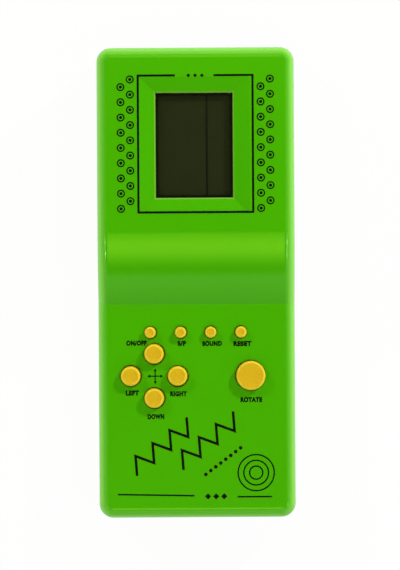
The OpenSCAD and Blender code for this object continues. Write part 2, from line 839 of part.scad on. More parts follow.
module dome(key) color("gainsboro") {
    foot = foot_r(key);
    translate([key[1], key[2], board_top]) rotate_extrude() polygon([
        [0, dome_h], [foot - dome_top, dome_h], [foot - dome_shoulder, mat_t], [foot, mat_t], [foot, touch],
        [foot - dome_bore, touch], [foot - dome_ceiling_edge, dome_ceiling], [0, dome_ceiling]
    ]);
}

module pill(key) color("dimgray")
    translate([key[1], key[2], board_top + pill_lift])
        cylinder(r = foot_r(key) - pill_edge, h = pill_t - touch);

module keypad_mat() color("gainsboro") difference() {
    box([mat_x0, mat_y0, board_top + touch], [mat_x1, mat_y1, board_top + mat_t]);
    for (key = KEYS)
        translate([key[1], key[2], board_top - past]) cylinder(r = foot_r(key) + fit, h = mat_t + 2 * past);
}

// Board

module circuit_board() color("peru") difference() {
    box([-board_x, board_y0, board_bottom], [board_x, board_y1, board_top]);
    posts(BOARD_SCREWS, small_shank_d / 2 + slip, board_bottom - past, board_top + past);
}

module chip_cover() color("black") {
    ball_r = (pow(blob_d / 2, 2) + pow(blob_h, 2)) / (2 * blob_h);
    translate([0, row_y + blob_d / 2 + free, board_bottom - touch - blob_h])
        rotate_extrude() intersection() {
            translate([0, ball_r]) circle(ball_r, $fn = 256);
            square([blob_d, blob_h]);
        }
}

module filter_capacitor() color("navy") {
    groove = 0.3;
    groove_at = 0.8;
    translate([-rest_x, pad_y, board_bottom - touch - capacitor_l]) rotate_extrude() difference() {
        square([capacitor_d / 2, capacitor_l]);
        translate([capacitor_d / 2, capacitor_l * groove_at]) circle(groove);
    }
}

module resistors() color("tan") {
    chip = [3.2, 1.6, 0.6];
    chips = 5;
    pitch = 1.4 * chip[0];
    for (k = [0 : chips - 1])
        translate([(k - chips / 2) * pitch, row_y - row_space, board_bottom - touch - chip[2]]) cube(chip);
}

// Battery bay

module cell(colour) color(colour) {
    can_l = cell_l - nub_h;
    edge = 0.5;
    rotate([0, 90, 0]) rotate_extrude() {
        square([cell_d / 2 - edge, can_l]);
        translate([0, edge]) square([cell_d / 2, can_l - 2 * edge]);
        translate([cell_d / 2 - edge, can_l - edge]) quarter(edge);
        translate([cell_d / 2 - edge, edge]) mirror([0, 1]) quarter(edge);
        square([nub_d / 2, cell_l]);
    }
}

// The upper cell points right and the lower cell points left
cell_tip = bay_x - contact_t - 2 * fit;

module upper_cell()
    translate([cell_tip - cell_l, bay_y + cell_offset, cell_z]) cell("darkslategray");

module lower_cell()
    translate([cell_l - cell_tip, bay_y - cell_offset, cell_z]) mirror([1, 0, 0]) cell("darkslategray");

module contact_plate(y, w) {
    translate([bay_x - fit - contact_t, y - w / 2, cell_z - plate_h / 2]) cube([contact_t, w, plate_h]);
}

module contact_tab(y) {
    translate([bay_x - fit - contact_t, y - tab_w / 2, tab_z - fit])
        cube([contact_t, tab_w, tab_top - tab_z + fit]);
}

module positive_contact() color("lightgray") {
    contact_plate(bay_y + cell_offset, plate_w);
    contact_tab(bay_y + cell_offset);
}

module negative_contact() color("lightgray") {
    contact_plate(bay_y - cell_offset, plate_w);
    contact_tab(bay_y - cell_offset);
}

module bridge_contact() color("lightgray") mirror([1, 0, 0])
    contact_plate(bay_y, plate_w + 2 * cell_offset);

// A cone-shaped coil from its plate to a cell's flat end, along +X
spring_turns = 4;
spring_rings = 12;
spring_foot_r = 3.6;
spring_tip_r = 2.2;
spring_run = 2 * cell_tip - cell_l + fit;
SPRING = [
    for (k = [0 : spring_turns * spring_rings])
        let (u = k / (spring_turns * spring_rings), r = spring_foot_r + (spring_tip_r - spring_foot_r) * u)
            [
                spring_wire / 2 + fit + (spring_run - spring_wire - 2 * fit) * u,
                r * cos(360 * spring_turns * u),
                r * sin(360 * spring_turns * u)
            ]
];
spring_gap = min([
    for (i = [0 : len(SPRING) - 1 - spring_rings / 2], j = [i + spring_rings / 2 : len(SPRING) - 1])
        norm(SPRING[i] - SPRING[j])
]) - spring_wire;
echo("least gap between the spring's turns", spring_gap);

module cell_spring() {
    wire_sides = 6;
    tube(SPRING, spring_wire / 2, wire_sides);
}

module bridge_spring() color("silver")
    translate([-cell_tip, bay_y + cell_offset, cell_z]) cell_spring();

module negative_spring() color("silver")
    translate([cell_tip, bay_y - cell_offset, cell_z]) mirror([1, 0, 0]) cell_spring();

// Leads: steps between two points of a route, and sides
lead_steps = 4;
lead_sides = 8;

module positive_lead() color("red") tube(curve(POSITIVE_ROUTE, lead_steps), lead_r, lead_sides);

module negative_lead() color("black") tube(curve(NEGATIVE_ROUTE, lead_steps), lead_r, lead_sides);

// Buzzer

plate_z = buzzer_seat + touch;
ceramic_z = plate_z + buzzer_t + touch;
plate_lead_x = -(buzzer_d + ceramic_d) / 4;
ceramic_lead_x = ceramic_d / 4;
buzzer_pad_x = rest_x - rest_r - lead_bend;

module buzzer_plate() color("goldenrod")
    translate([0, buzzer_y, plate_z]) cylinder(d = buzzer_d, h = buzzer_t);

module buzzer_ceramic() color("ivory")
    translate([0, buzzer_y, ceramic_z]) cylinder(d = ceramic_d, h = ceramic_t);

module buzzer_lead(x0, z0, x1) {
    tube(curve(buzzer_route(x0, z0, x1), lead_steps), lead_r, lead_sides);
}

module buzzer_plate_lead() color("black") buzzer_lead(plate_lead_x, plate_z + buzzer_t, -buzzer_pad_x);

module buzzer_ceramic_lead() color("red") buzzer_lead(ceramic_lead_x, ceramic_z + ceramic_t, buzzer_pad_x);

// Every piece, one node at a time

front_shell();
rear_shell();
battery_door();
case_screws();
screen_lens();
lens_gasket();
lcd_polariser();
lcd_front_glass();
lcd_rear_glass();
lcd_reflector();
lcd_carrier();
carrier_screws();
lcd_ribbon();
for (key = KEYS) {
    key_cap(key);
    dome(key);
    pill(key);
}
keypad_mat();
circuit_board();
chip_cover();
filter_capacitor();
resistors();
board_screws();
upper_cell();
lower_cell();
positive_contact();
negative_contact();
bridge_contact();
negative_spring();
bridge_spring();
positive_lead();
negative_lead();
buzzer_plate();
buzzer_ceramic();
buzzer_plate_lead();
buzzer_ceramic_lead();
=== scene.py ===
import math
import bmesh
import bpy
from mathutils import Matrix, Vector


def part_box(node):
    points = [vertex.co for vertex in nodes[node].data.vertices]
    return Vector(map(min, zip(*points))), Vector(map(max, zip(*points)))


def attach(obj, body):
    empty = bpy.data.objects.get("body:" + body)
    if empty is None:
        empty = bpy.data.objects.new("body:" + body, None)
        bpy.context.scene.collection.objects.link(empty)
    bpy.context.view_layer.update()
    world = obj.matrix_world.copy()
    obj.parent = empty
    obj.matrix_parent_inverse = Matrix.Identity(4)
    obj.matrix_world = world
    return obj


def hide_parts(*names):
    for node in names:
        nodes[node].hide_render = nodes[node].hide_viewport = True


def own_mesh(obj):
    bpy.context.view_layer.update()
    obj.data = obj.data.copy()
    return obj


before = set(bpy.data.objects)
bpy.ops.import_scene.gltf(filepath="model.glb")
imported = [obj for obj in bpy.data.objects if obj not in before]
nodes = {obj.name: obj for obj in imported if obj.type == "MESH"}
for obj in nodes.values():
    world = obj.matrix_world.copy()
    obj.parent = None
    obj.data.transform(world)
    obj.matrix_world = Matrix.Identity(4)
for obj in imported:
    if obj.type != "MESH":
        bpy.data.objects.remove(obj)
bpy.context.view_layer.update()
scene = bpy.context.scene
scene.view_settings.view_transform = "Standard"
mm = 0.001
# points nearer to each other than this, in metres, count as one
tiny = 1e-7
keys = [name[:-len("_button")] for name in nodes if name.endswith("_button")]
print("frame loaded:", len(nodes), "parts,", len(keys), "keys")


# camera straight above the console, a little off its middle
camera = {"height": 1500, "middle": (1.4, -0.75), "roll": -0.35, "mmPerPixel": 0.3833, "levelSeen": 21.5,
          "pixelsHigh": 570, "sensor": 36, "farClip": 20}

lens = bpy.data.cameras.new("camera")
lens.sensor_fit = "VERTICAL"
lens.sensor_height = camera["sensor"]
focusPixels = (camera["height"] - camera["levelSeen"]) / camera["mmPerPixel"]
lens.lens = focusPixels * camera["sensor"] / camera["pixelsHigh"]
lens.clip_end = camera["farClip"]
cameraObject = bpy.data.objects.new("camera", lens)
cameraObject.location = (camera["middle"][0] * mm, camera["middle"][1] * mm, camera["height"] * mm)
cameraObject.rotation_euler = (0, 0, math.radians(camera["roll"]))
scene.collection.objects.link(cameraObject)
scene.camera = cameraObject
print("camera set, lens", round(lens.lens, 1), "mm")


def hexLinear(code):
    channels = [int(code[i:i + 2], 16) / 255 for i in (1, 3, 5)]
    return [c / 12.92 if c <= 0.04045 else ((c + 0.055) / 1.055) ** 2.4 for c in channels] + [1]


# adds a node, sets its inputs or properties, and links its inputs to other outputs
def addNode(owner, kind, settings=None, links=None):
    made = owner.node_tree.nodes.new("ShaderNode" + kind)
    for name, value in (settings or {}).items():
        if isinstance(name, int) or name in made.inputs:
            made.inputs[name].default_value = value
        else:
            setattr(made, name, value)
    for name, source in (links or {}).items():
        owner.node_tree.links.new(source, made.inputs[name])
    return made


# what all surfaces share unless they say otherwise; the roughness follows the middle span of the grain
shared = {"patchDetail": 3, "grainDetail": 2, "grainSpan": (0.3, 0.7), "reliefStrength": 0.6, "metallic": 0,
          "ior": 1.5, "shine": 0.5, "shineTint": "#ffffff"}


# a surface of two close colours in soft patches, with a roughness range and a fine relief, sizes in mm
def surface(name, own):
    look = {**shared, **own}
    material = bpy.data.materials.new(name)
    material.use_nodes = True
    shader = material.node_tree.nodes["Principled BSDF"]
    where = addNode(material, "TexCoord", {"name": "where"}).outputs["Object"]
    coarse = {"Scale": 1 / (look["patch"] * mm), "Detail": look["patchDetail"]}
    patches = addNode(material, "TexNoise", coarse, {"Vector": where})
    fine = {"Scale": 1 / (look["grain"] * mm), "Detail": look["grainDetail"]}
    grain = addNode(material, "TexNoise", fine, {"Vector": where})
    colours = {"data_type": "RGBA", 6: hexLinear(look["light"]), 7: hexLinear(look["dark"])}
    tone = addNode(material, "Mix", colours, {0: patches.outputs["Fac"]})
    span = dict(zip(("From Min", "From Max", "To Min", "To Max"), look["grainSpan"] + look["rough"]))
    rough = addNode(material, "MapRange", span, {"Value": grain.outputs["Fac"]})
    relief = addNode(material, "Bump", {"Strength": look["reliefStrength"], "Distance": look["relief"] * mm},
                     {"Height": grain.outputs["Fac"]})
    shader.inputs["Metallic"].default_value = look["metallic"]
    shader.inputs["IOR"].default_value = look["ior"]
    shader.inputs["Specular IOR Level"].default_value = look["shine"]
    shader.inputs["Specular Tint"].default_value = hexLinear(look["shineTint"])
    join = material.node_tree.links.new
    join(tone.outputs[2], shader.inputs["Base Color"])
    join(rough.outputs[0], shader.inputs["Roughness"])
    join(relief.outputs[0], shader.inputs["Normal"])
    return material


# where a point of a surface lies on its piece
def placeOn(material):
    return material.node_tree.nodes["where"].outputs["Object"]


# puts a second colour over a surface where a mask is 1
def overlay(material, colour, mask):
    shader = material.node_tree.nodes["Principled BSDF"]
    under = shader.inputs["Base Color"].links[0].from_socket
    painted = addNode(material, "Mix", {"data_type": "RGBA", 7: hexLinear(colour)}, {0: mask, 6: under})
    material.node_tree.links.new(painted.outputs[2], shader.inputs["Base Color"])


# 1 inside a band of a coordinate and 0 outside, with a soft edge, sizes in mm
def band(material, coordinate, middle, half, soft):
    away = addNode(material, "Math", {"operation": "SUBTRACT", 1: middle * mm}, {0: coordinate})
    size = addNode(material, "Math", {"operation": "ABSOLUTE"}, {0: away.outputs[0]})
    edge = {"From Min": (half + soft / 2) * mm, "From Max": (half - soft / 2) * mm}
    return addNode(material, "MapRange", edge, {"Value": size.outputs[0]}).outputs[0]


# moulded glossy ABS, a little see-through: the dye tints its soft reflections, and the skin waves faintly
greenAbs = surface("mouldedGlossyAbsGreen", {
    "light": "#47ae02", "dark": "#43a802", "patch": 38, "grain": 2.6,
    "rough": (0.1, 0.14), "relief": 0.004, "shineTint": "#ccff9c"})
# a highlight painted paler on the rounded edges, weaker at the foot end; a greyish highlight painted on the
# thin lip round the window
paintedEdgeHighlight = addNode(greenAbs, "Attribute", {"attribute_name": "rounded"})
overlay(greenAbs, "#80d04a", paintedEdgeHighlight.outputs["Fac"])
paintedLipHighlight = addNode(greenAbs, "Attribute", {"attribute_name": "lip"})
overlay(greenAbs, "#78ac3a", paintedLipHighlight.outputs["Fac"])

# moulded ABS of the keys: a warm yellow, with a highlight painted paler on the round rim
yellowAbs = surface("mouldedAbsYellow", {
    "light": "#d6ae1d", "dark": "#d3a81c", "patch": 6, "grain": 1.2,
    "rough": (0.22, 0.3), "relief": 0.006, "shineTint": "#fff0a0"})
paintedRimHighlight = addNode(yellowAbs, "Attribute", {"attribute_name": "rounded"})
overlay(yellowAbs, "#e4c830", paintedRimHighlight.outputs["Fac"])

# pad printing ink: a thin matt black film with a slightly broken surface
blackInk = surface("padPrintedInkBlack", {
    "light": "#060a04", "dark": "#030502", "patch": 0.8, "grain": 0.3, "rough": (0.45, 0.6), "relief": 0.002,
    "shine": 0.1})

# polarising film on a liquid crystal glass: dark olive, with a near black band of painted shade along the
# window's rim
lcdFilm = surface("polarisingFilmOlive", {
    "light": "#242a13", "dark": "#212610", "patch": 9, "grain": 0.8, "rough": (0.29, 0.33), "relief": 0.0003,
    "shine": 0.1})

# silicone keypad rubber: dull pale grey
greyRubber = surface("mouldedSiliconeRubber", {
    "light": "#c9cbc8", "dark": "#b9bcb9", "patch": 6, "grain": 0.7, "rough": (0.6, 0.75), "relief": 0.01,
    "ior": 1.42})

# closed cell foam: black, with fine pores
blackFoam = surface("closedCellFoamBlack", {
    "light": "#1d1d1d", "dark": "#101010", "patch": 1.2, "grain": 0.3, "rough": (0.8, 0.95), "relief": 0.05})

# soda lime glass of the display: grey green on its edges
displayGlass = surface("displayGlass", {
    "light": "#6d7a68", "dark": "#667263", "patch": 12, "grain": 4, "rough": (0.05, 0.1), "relief": 0.0005,
    "ior": 1.52})

# reflector film behind the glass: a dull silver
silverFilm = surface("reflectorFilmSilver", {
    "light": "#c4c6c2", "dark": "#b3b6b2", "patch": 4, "grain": 0.4, "rough": (0.35, 0.5), "relief": 0.002,
    "metallic": 1})

# moulded matt polystyrene of the carrier: off-white
whiteStyrene = surface("mouldedPolystyreneWhite", {
    "light": "#ebe9e0", "dark": "#dfddd3", "patch": 14, "grain": 1, "rough": (0.45, 0.55), "relief": 0.006,
    "ior": 1.59})

# polyimide ribbon: glossy amber
amberFilm = surface("polyimideFilmAmber", {
    "light": "#c8801e", "dark": "#b56f16", "patch": 3, "grain": 0.6, "rough": (0.25, 0.4), "relief": 0.002,
    "ior": 1.7})

# carbon loaded rubber of the pills: a near black with a dull face
carbonRubber = surface("carbonRubberPill", {
    "light": "#262728", "dark": "#1a1b1c", "patch": 1, "grain": 0.3, "rough": (0.65, 0.8), "relief": 0.006})

# epoxy over the chip: black and glossy, with a poured skin
chipEpoxy = surface("pouredEpoxyBlack", {
    "light": "#141414", "dark": "#0c0c0c", "patch": 3, "grain": 1.5, "rough": (0.15, 0.25), "relief": 0.02,
    "ior": 1.55})

# zinc plated steel of the screws: bright grey with fine turning marks
zincSteel = surface("zincPlatedSteel", {
    "light": "#c3c5c6", "dark": "#a7aaac", "patch": 0.8, "grain": 0.25, "rough": (0.25, 0.4), "relief": 0.01,
    "metallic": 1})

# nickel plated strip of the cell contacts: bright, a little warm
nickelStrip = surface("nickelPlatedStrip", {
    "light": "#cfcac0", "dark": "#b8b3a8", "patch": 2, "grain": 0.4, "rough": (0.2, 0.35), "relief": 0.004,
    "metallic": 1})

# drawn spring wire: grey, with fine draw lines
springSteel = surface("drawnSpringSteel", {
    "light": "#b4b6b8", "dark": "#8f9194", "patch": 0.6, "grain": 0.15, "rough": (0.25, 0.4), "relief": 0.006,
    "metallic": 1})

# PVC insulation of the leads: soft gloss
redPvc = surface("pvcInsulationRed", {
    "light": "#b3211c", "dark": "#9c1a16", "patch": 2, "grain": 0.5, "rough": (0.35, 0.45), "relief": 0.005})
blackPvc = surface("pvcInsulationBlack", {
    "light": "#1b1b1b", "dark": "#121212", "patch": 2, "grain": 0.5, "rough": (0.35, 0.45), "relief": 0.005})

# rolled brass of the buzzer plate: yellow, with a fine rolled grain
rolledBrass = surface("rolledBrass", {
    "light": "#d3ad57", "dark": "#bd9644", "patch": 3, "grain": 0.3, "rough": (0.25, 0.4), "relief": 0.003,
    "metallic": 1})

# fired ceramic with a silvered face: pale and dull
firedCeramic = surface("silveredCeramic", {
    "light": "#dcd8cc", "dark": "#cbc7ba", "patch": 2, "grain": 0.4, "rough": (0.4, 0.55), "relief": 0.003})

# capacitor sleeve: shrunk dark blue vinyl
blueSleeve = surface("shrunkVinylBlue", {
    "light": "#1d2a57", "dark": "#172147", "patch": 2, "grain": 0.5, "rough": (0.3, 0.4), "relief": 0.004})

# resistor lacquer: beige with colour rings
beigeLacquer = surface("resistorLacquerBeige", {
    "light": "#cdb48a", "dark": "#bfa579", "patch": 1, "grain": 0.3, "rough": (0.3, 0.4), "relief": 0.004})

# phenolic paper board: brown, with pale copper tracks under the lacquer
brownBoard = surface("phenolicPaperBoard", {
    "light": "#9c6a35", "dark": "#8a5b2b", "patch": 5, "grain": 0.4, "rough": (0.35, 0.5), "relief": 0.004})

# shrunk film on the cells: dark, with metal ends and a pale band
greyCellFilm = surface("cellSleeveGraphite", {
    "light": "#3b4148", "dark": "#31363d", "patch": 4, "grain": 0.6, "rough": (0.22, 0.3), "relief": 0.003})
tealCellFilm = surface("cellSleeveTeal", {
    "light": "#2b6a70", "dark": "#245c62", "patch": 4, "grain": 0.6, "rough": (0.22, 0.3), "relief": 0.003})


# the display's dark divider, its painted shade along the window's rim and the faint grid of its cells
display = {"middle": (-0.5, 52.6), "half": (13.7, 19.0), "paintedRimShadeSoft": 0.8, "paintedRimShade": "#070905",
           "divider": 4.3, "dividerHalf": 0.38, "dividerSoft": 0.3, "dividerColour": "#0d1009",
           "cell": 1.82, "gridLine": 0.06, "gridSoft": 0.4, "gridColour": "#22281a"}


def markDisplay():
    d = display
    axes = addNode(lcdFilm, "SeparateXYZ", links={0: placeOn(lcdFilm)})
    cells = {"offset": 0, "Scale": 1 / (d["cell"] * mm), "Brick Width": 1, "Row Height": 1,
             "Mortar Size": d["gridLine"], "Mortar Smooth": d["gridSoft"]}
    grid = addNode(lcdFilm, "TexBrick", cells, {"Vector": placeOn(lcdFilm)})
    overlay(lcdFilm, d["gridColour"], grid.outputs["Fac"])
    divider = band(lcdFilm, axes.outputs[0], d["divider"], d["dividerHalf"], d["dividerSoft"])
    overlay(lcdFilm, d["dividerColour"], divider)
    # painted shade: a near black band along the window's edge, where the rim shades the film
    inX = band(lcdFilm, axes.outputs[0], d["middle"][0], d["half"][0], d["paintedRimShadeSoft"])
    inY = band(lcdFilm, axes.outputs[1], d["middle"][1], d["half"][1], d["paintedRimShadeSoft"])
    inside = addNode(lcdFilm, "Math", {"operation": "MULTIPLY"}, {0: inX, 1: inY})
    shadedEdge = addNode(lcdFilm, "Math", {"operation": "SUBTRACT", 0: 1.0}, {1: inside.outputs[0]})
    overlay(lcdFilm, d["paintedRimShade"], shadedEdge.outputs[0])


markDisplay()

# bands of the cells, tracks of the board and rings of the resistors
bands = {"soft": 0.2, "cellEnd": 2.2, "cellPale": 4.5, "pale": "#c9ccc9", "metal": "#b9b7b0",
         "copper": "#b98a4f", "track": 2.4, "trackLong": 3, "trackLine": 0.16, "trackSoft": 0.2,
         "ring": "#6b2f1c", "ringPitch": 6, "ringSpan": (0.82, 0.9)}


def markSmallParts():
    b = bands
    for film, node in ((greyCellFilm, "lower_cell"), (tealCellFilm, "upper_cell")):
        low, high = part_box(node)
        axes = addNode(film, "SeparateXYZ", links={0: placeOn(film)})
        middle = (low.x + high.x) / 2 / mm
        half = (high.x - low.x) / 2 / mm
        overlay(film, b["pale"], band(film, axes.outputs[0], middle, b["cellPale"], b["soft"]))
        body = band(film, axes.outputs[0], middle, half - b["cellEnd"], b["soft"])
        ends = addNode(film, "Math", {"operation": "SUBTRACT", 0: 1.0}, {1: body})
        overlay(film, b["metal"], ends.outputs[0])
    lines = {"Scale": 1 / (b["track"] * mm), "Brick Width": b["trackLong"], "Row Height": 1,
             "Mortar Size": b["trackLine"], "Mortar Smooth": b["trackSoft"]}
    tracks = addNode(brownBoard, "TexBrick", lines, {"Vector": placeOn(brownBoard)})
    overlay(brownBoard, b["copper"], tracks.outputs["Fac"])
    waves = {"Scale": 1 / (b["ringPitch"] * mm), "bands_direction": "X"}
    rings = addNode(beigeLacquer, "TexWave", waves, {"Vector": placeOn(beigeLacquer)})
    edge = {"From Min": b["ringSpan"][0], "From Max": b["ringSpan"][1]}
    dark = addNode(beigeLacquer, "MapRange", edge, {"Value": rings.outputs["Fac"]})
    overlay(beigeLacquer, b["ring"], dark.outputs[0])


markSmallParts()


# clear cast acrylic: what lies under it shows, and its face mirrors a little of the room
lensLook = {"dust": 0.7, "dustDetail": 1, "rough": (0.05, 0.07), "ior": 1.49, "tint": "#f2f5ee"}


def clearLens():
    c = lensLook
    material = bpy.data.materials.new("castAcrylicClear")
    material.use_nodes = True
    shader = material.node_tree.nodes["Principled BSDF"]
    where = addNode(material, "TexCoord").outputs["Object"]
    dust = addNode(material, "TexNoise", {"Scale": 1 / (c["dust"] * mm), "Detail": c["dustDetail"]},
                   {"Vector": where})
    low, high = c["rough"]
    rough = addNode(material, "MapRange", {"To Min": low, "To Max": high}, {"Value": dust.outputs["Fac"]})
    see = addNode(material, "BsdfTransparent")
    shine = addNode(material, "Fresnel", {"IOR": c["ior"]})
    inner = addNode(material, "NewGeometry").outputs["Backfacing"]
    outer = addNode(material, "Math", {"operation": "SUBTRACT", 0: 1.0}, {1: inner})
    share = addNode(material, "Math", {"operation": "MULTIPLY"}, {0: shine.outputs[0], 1: outer.outputs[0]})
    both = addNode(material, "MixShader",
                   links={0: share.outputs[0], 1: see.outputs[0], 2: shader.outputs[0]})
    shader.inputs["Base Color"].default_value = hexLinear(c["tint"])
    shader.inputs["Metallic"].default_value = 1
    join = material.node_tree.links.new
    join(rough.outputs[0], shader.inputs["Roughness"])
    join(both.outputs[0], material.node_tree.nodes["Material Output"].inputs["Surface"])
    return material


acrylic = clearLens()
print("materials made:", len(bpy.data.materials))


# turns a bmesh into an object of the scene
def meshObject(name, mould, material=None):
    mesh = bpy.data.meshes.new(name)
    mould.to_mesh(mesh)
    mould.free()
    if material:
        mesh.materials.append(material)
    made = bpy.data.objects.new(name, mesh)
    scene.collection.objects.link(made)
    return made


# turns a bmesh into a finished piece that rides a body, with edges sharp above an angle in degrees
def finishPiece(name, mould, material, body, stands=(), sharp=35):
    piece = meshObject(name, mould, material)
    smoothPiece(piece, sharp)
    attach(piece, body)
    if stands:
        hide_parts(*stands)
    return piece


def smoothPiece(piece, sharp):
    piece.data.shade_smooth()
    piece.data.set_sharp_from_angle(angle=math.radians(sharp))


# makes the result of a piece's modifiers its own mesh
def applyModifiers(piece):
    shown = piece.evaluated_get(bpy.context.evaluated_depsgraph_get())
    result = bpy.data.meshes.new_from_object(shown)
    piece.modifiers.clear()
    piece.data = result


# front shell: screen half, rolled slope and keypad face in one skin
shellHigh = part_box("front_shell")[1]
frontShell = {
    "wall": 1.5, "cornerRound": 5.5, "cornerSteps": 12, "edgeRound": 4, "edgeSteps": 10, "seam": 11.15,
    "aboveSeam": 1, "printRoom": 0.03, "step": 8.5, "slopeTop": 20.3, "slopeFoot": -8.25, "slopeTries": 40,
    "crestRound": 20, "crestTilt": 4.5, "footRound": 0.25, "crestCuts": 6, "slopeCuts": 26, "footCuts": 8,
    "windowMiddle": (-0.5, 52.6), "window": (29.6, 40.2), "bevelWidth": (6.2, 6.0), "bevelDepth": 1.9,
    "rimDepth": 1.2, "rimRound": 0.5, "rimSteps": 8, "rimDraft": 0.15, "stripArea": 300, "stripNear": 5,
    "pale": 2.6, "paintedHighlightFoot": 0.5, "upperLean": 0.5, "flatLean": 0.9, "sharp": 12, "normalWeight": 100,
    "keyGap": 0.21, "holeSteps": 64, "holeDepth": 6,
    "holeLean": {"power": (0.14, -0.03), "start": (0.12, 0), "sound": (-0.06, 0.06), "reset": (-0.1, 0.06),
                 "up": (0.15, -0.02), "left": (0.14, 0.08), "right": (0.1, -0.12), "down": (0.15, 0.04),
                 "rotate": (-0.15, 0.08)}}
screenFace = shellHigh.z / mm - frontShell["printRoom"]
keyFace = shellHigh.z / mm - frontShell["step"]
halfWidth = shellHigh.x / mm
halfLength = shellHigh.y / mm


# slope of a tight crest, a long arc and a small foot: the crest's tilt, the long arc's radius and its ends
def slopeArcs():
    s = frontShell
    first = math.radians(s["crestTilt"])
    last = first
    for i in range(s["slopeTries"]):
        run = s["slopeTop"] - s["slopeFoot"] - s["crestRound"] * math.sin(first)
        run -= s["footRound"] * math.sin(last)
        drop = screenFace - keyFace - s["crestRound"] * (1 - math.cos(first))
        drop -= s["footRound"] * (1 - math.cos(last))
        last = 2 * math.atan2(drop, run) - first
    longRound = run / (math.sin(last) - math.sin(first))
    crestEnd = s["slopeTop"] - s["crestRound"] * math.sin(first)
    bend = s["slopeFoot"] + s["footRound"] * math.sin(last)
    return first, longRound, crestEnd, bend


# height of the upper face along the console
def faceHeight(y):
    s = frontShell
    first, longRound, crestEnd, bend = slopeArcs()
    if y >= s["slopeTop"]:
        height = screenFace
    elif y >= crestEnd:
        height = screenFace - s["crestRound"] + math.sqrt(s["crestRound"] ** 2 - (s["slopeTop"] - y) ** 2)
    elif y >= bend:
        lowered = s["crestRound"] * (1 - math.cos(first)) + longRound * math.cos(first)
        fromAxis = crestEnd + longRound * math.sin(first) - y
        height = screenFace - lowered + math.sqrt(longRound ** 2 - fromAxis ** 2)
    elif y > s["slopeFoot"]:
        height = keyFace + s["footRound"] - math.sqrt(s["footRound"] ** 2 - (y - s["slopeFoot"]) ** 2)
    else:
        height = keyFace
    return height


# places of the cuts that let the upper face bend
def cutsAcross():
    s = frontShell
    crestEnd, bend = slopeArcs()[2:]
    stops = (s["slopeTop"], crestEnd, bend, s["slopeFoot"])
    cuts = [s["slopeFoot"]]
    for high, low, count in zip(stops, stops[1:], (s["crestCuts"], s["slopeCuts"], s["footCuts"])):
        cuts += [high + (low - high) * i / count for i in range(count)]
    cuts += [s["windowMiddle"][1] + side * (s["window"][1] / 2 + s["bevelWidth"][1]) for side in (-1, 1)]
    return cuts


# how far a point of the plan is inside the outer outline
def edgeAway(x, y):
    r = frontShell["cornerRound"]
    inX = halfWidth - abs(x)
    inY = halfLength - abs(y)
    if inX < r and inY < r:
        away = r - math.hypot(r - inX, r - inY)
    else:
        away = min(inX, inY)
    return away


def allOf(mould):
    return mould.verts[:] + mould.edges[:] + mould.faces[:]


def turnOut(mould):
    bmesh.ops.recalc_face_normals(mould, faces=mould.faces[:])


# a flat face, 1 by 1 before its matrix
def addFace(mould, matrix):
    bmesh.ops.create_grid(mould, x_segments=1, y_segments=1, size=0.5, matrix=matrix)


def vertsOf(geom):
    return [v for v in geom if isinstance(v, bmesh.types.BMVert)]


def buildFrontShell():
    s = frontShell
    mould = bmesh.new()
    # plan outline with round corners, drawn up to a block and cut across
    addFace(mould, Matrix.Diagonal((2 * halfWidth * mm, 2 * halfLength * mm, 1, 1)))
    bmesh.ops.bevel(mould, geom=mould.verts[:], offset=s["cornerRound"] * mm, segments=s["cornerSteps"],
                    profile=0.5, affect="VERTICES", material=-1)
    bmesh.ops.translate(mould, verts=mould.verts[:], vec=(0, 0, s["seam"] * mm))
    raised = bmesh.ops.extrude_face_region(mould, geom=mould.faces[:])["geom"]
    bmesh.ops.translate(mould, verts=vertsOf(raised), vec=(0, 0, (screenFace - s["seam"]) * mm))
    flat = [f for f in mould.faces if all(abs(v.co.z - s["seam"] * mm) < tiny for v in f.verts)]
    bmesh.ops.delete(mould, geom=flat, context="FACES_ONLY")
    for y in cutsAcross():
        bmesh.ops.bisect_plane(mould, geom=allOf(mould), dist=tiny, plane_co=(0, y * mm, 0),
                               plane_no=(0, 1, 0))
    turnOut(mould)
    # the upper face follows the slope, then its outer edge is rounded
    lowest = (s["seam"] + s["aboveSeam"]) * mm
    for v in mould.verts:
        if v.co.z > lowest:
            v.co.z = faceHeight(v.co.y / mm) * mm
    rim = [e for e in mould.edges if len(e.link_faces) == 2
           and sum(f.normal.z > s["upperLean"] for f in e.link_faces) == 1
           and all(v.co.z > lowest for v in e.verts)]
    bmesh.ops.bevel(mould, geom=rim, offset=s["edgeRound"] * mm, segments=s["edgeSteps"], profile=0.5,
                    affect="EDGES", material=-1, clamp_overlap=False, loop_slide=True)
    # painted highlight on the rounded edge: strongest part way round it, half as strong at the foot end
    rounded = mould.verts.layers.float.new("rounded")
    for v in mould.verts:
        lean = max(0, 1 - edgeAway(v.co.x / mm, v.co.y / mm) / s["edgeRound"])
        fromFoot = min(1, (v.co.y / mm + halfLength) / s["cornerRound"])
        share = s["paintedHighlightFoot"] + (1 - s["paintedHighlightFoot"]) * fromFoot
        v[rounded] = s["pale"] * share * lean ** 2 * math.sqrt(max(0, 1 - lean ** 2))
    sinkWindow(mould)
    turnOut(mould)
    piece = finishPiece("frontShell", mould, greenAbs, "case", ["front_shell"])
    wall = piece.modifiers.new("wall", "SOLIDIFY")
    wall.thickness = s["wall"] * mm
    wall.offset = -1
    wall.use_even_offset = True
    cutter = keyHoles()
    holes = piece.modifiers.new("keyHoles", "BOOLEAN")
    holes.operation = "DIFFERENCE"
    holes.solver = "EXACT"
    holes.object = cutter
    applyModifiers(piece)
    bpy.data.objects.remove(cutter)
    smoothPiece(piece, s["sharp"])
    normals = piece.modifiers.new("faceNormals", "WEIGHTED_NORMAL")
    normals.keep_sharp = True
    normals.weight = s["normalWeight"]
    return piece


# marks the middle of a rounded edge, where its material paints a highlight
def markPaintedHighlight(mould, faces, layer="rounded"):
    mark = mould.verts.layers.float.get(layer) or mould.verts.layers.float.new(layer)
    inside = set(faces)
    for v in {v for f in faces for v in f.verts}:
        v[mark] = float(all(f in inside for f in v.link_faces))


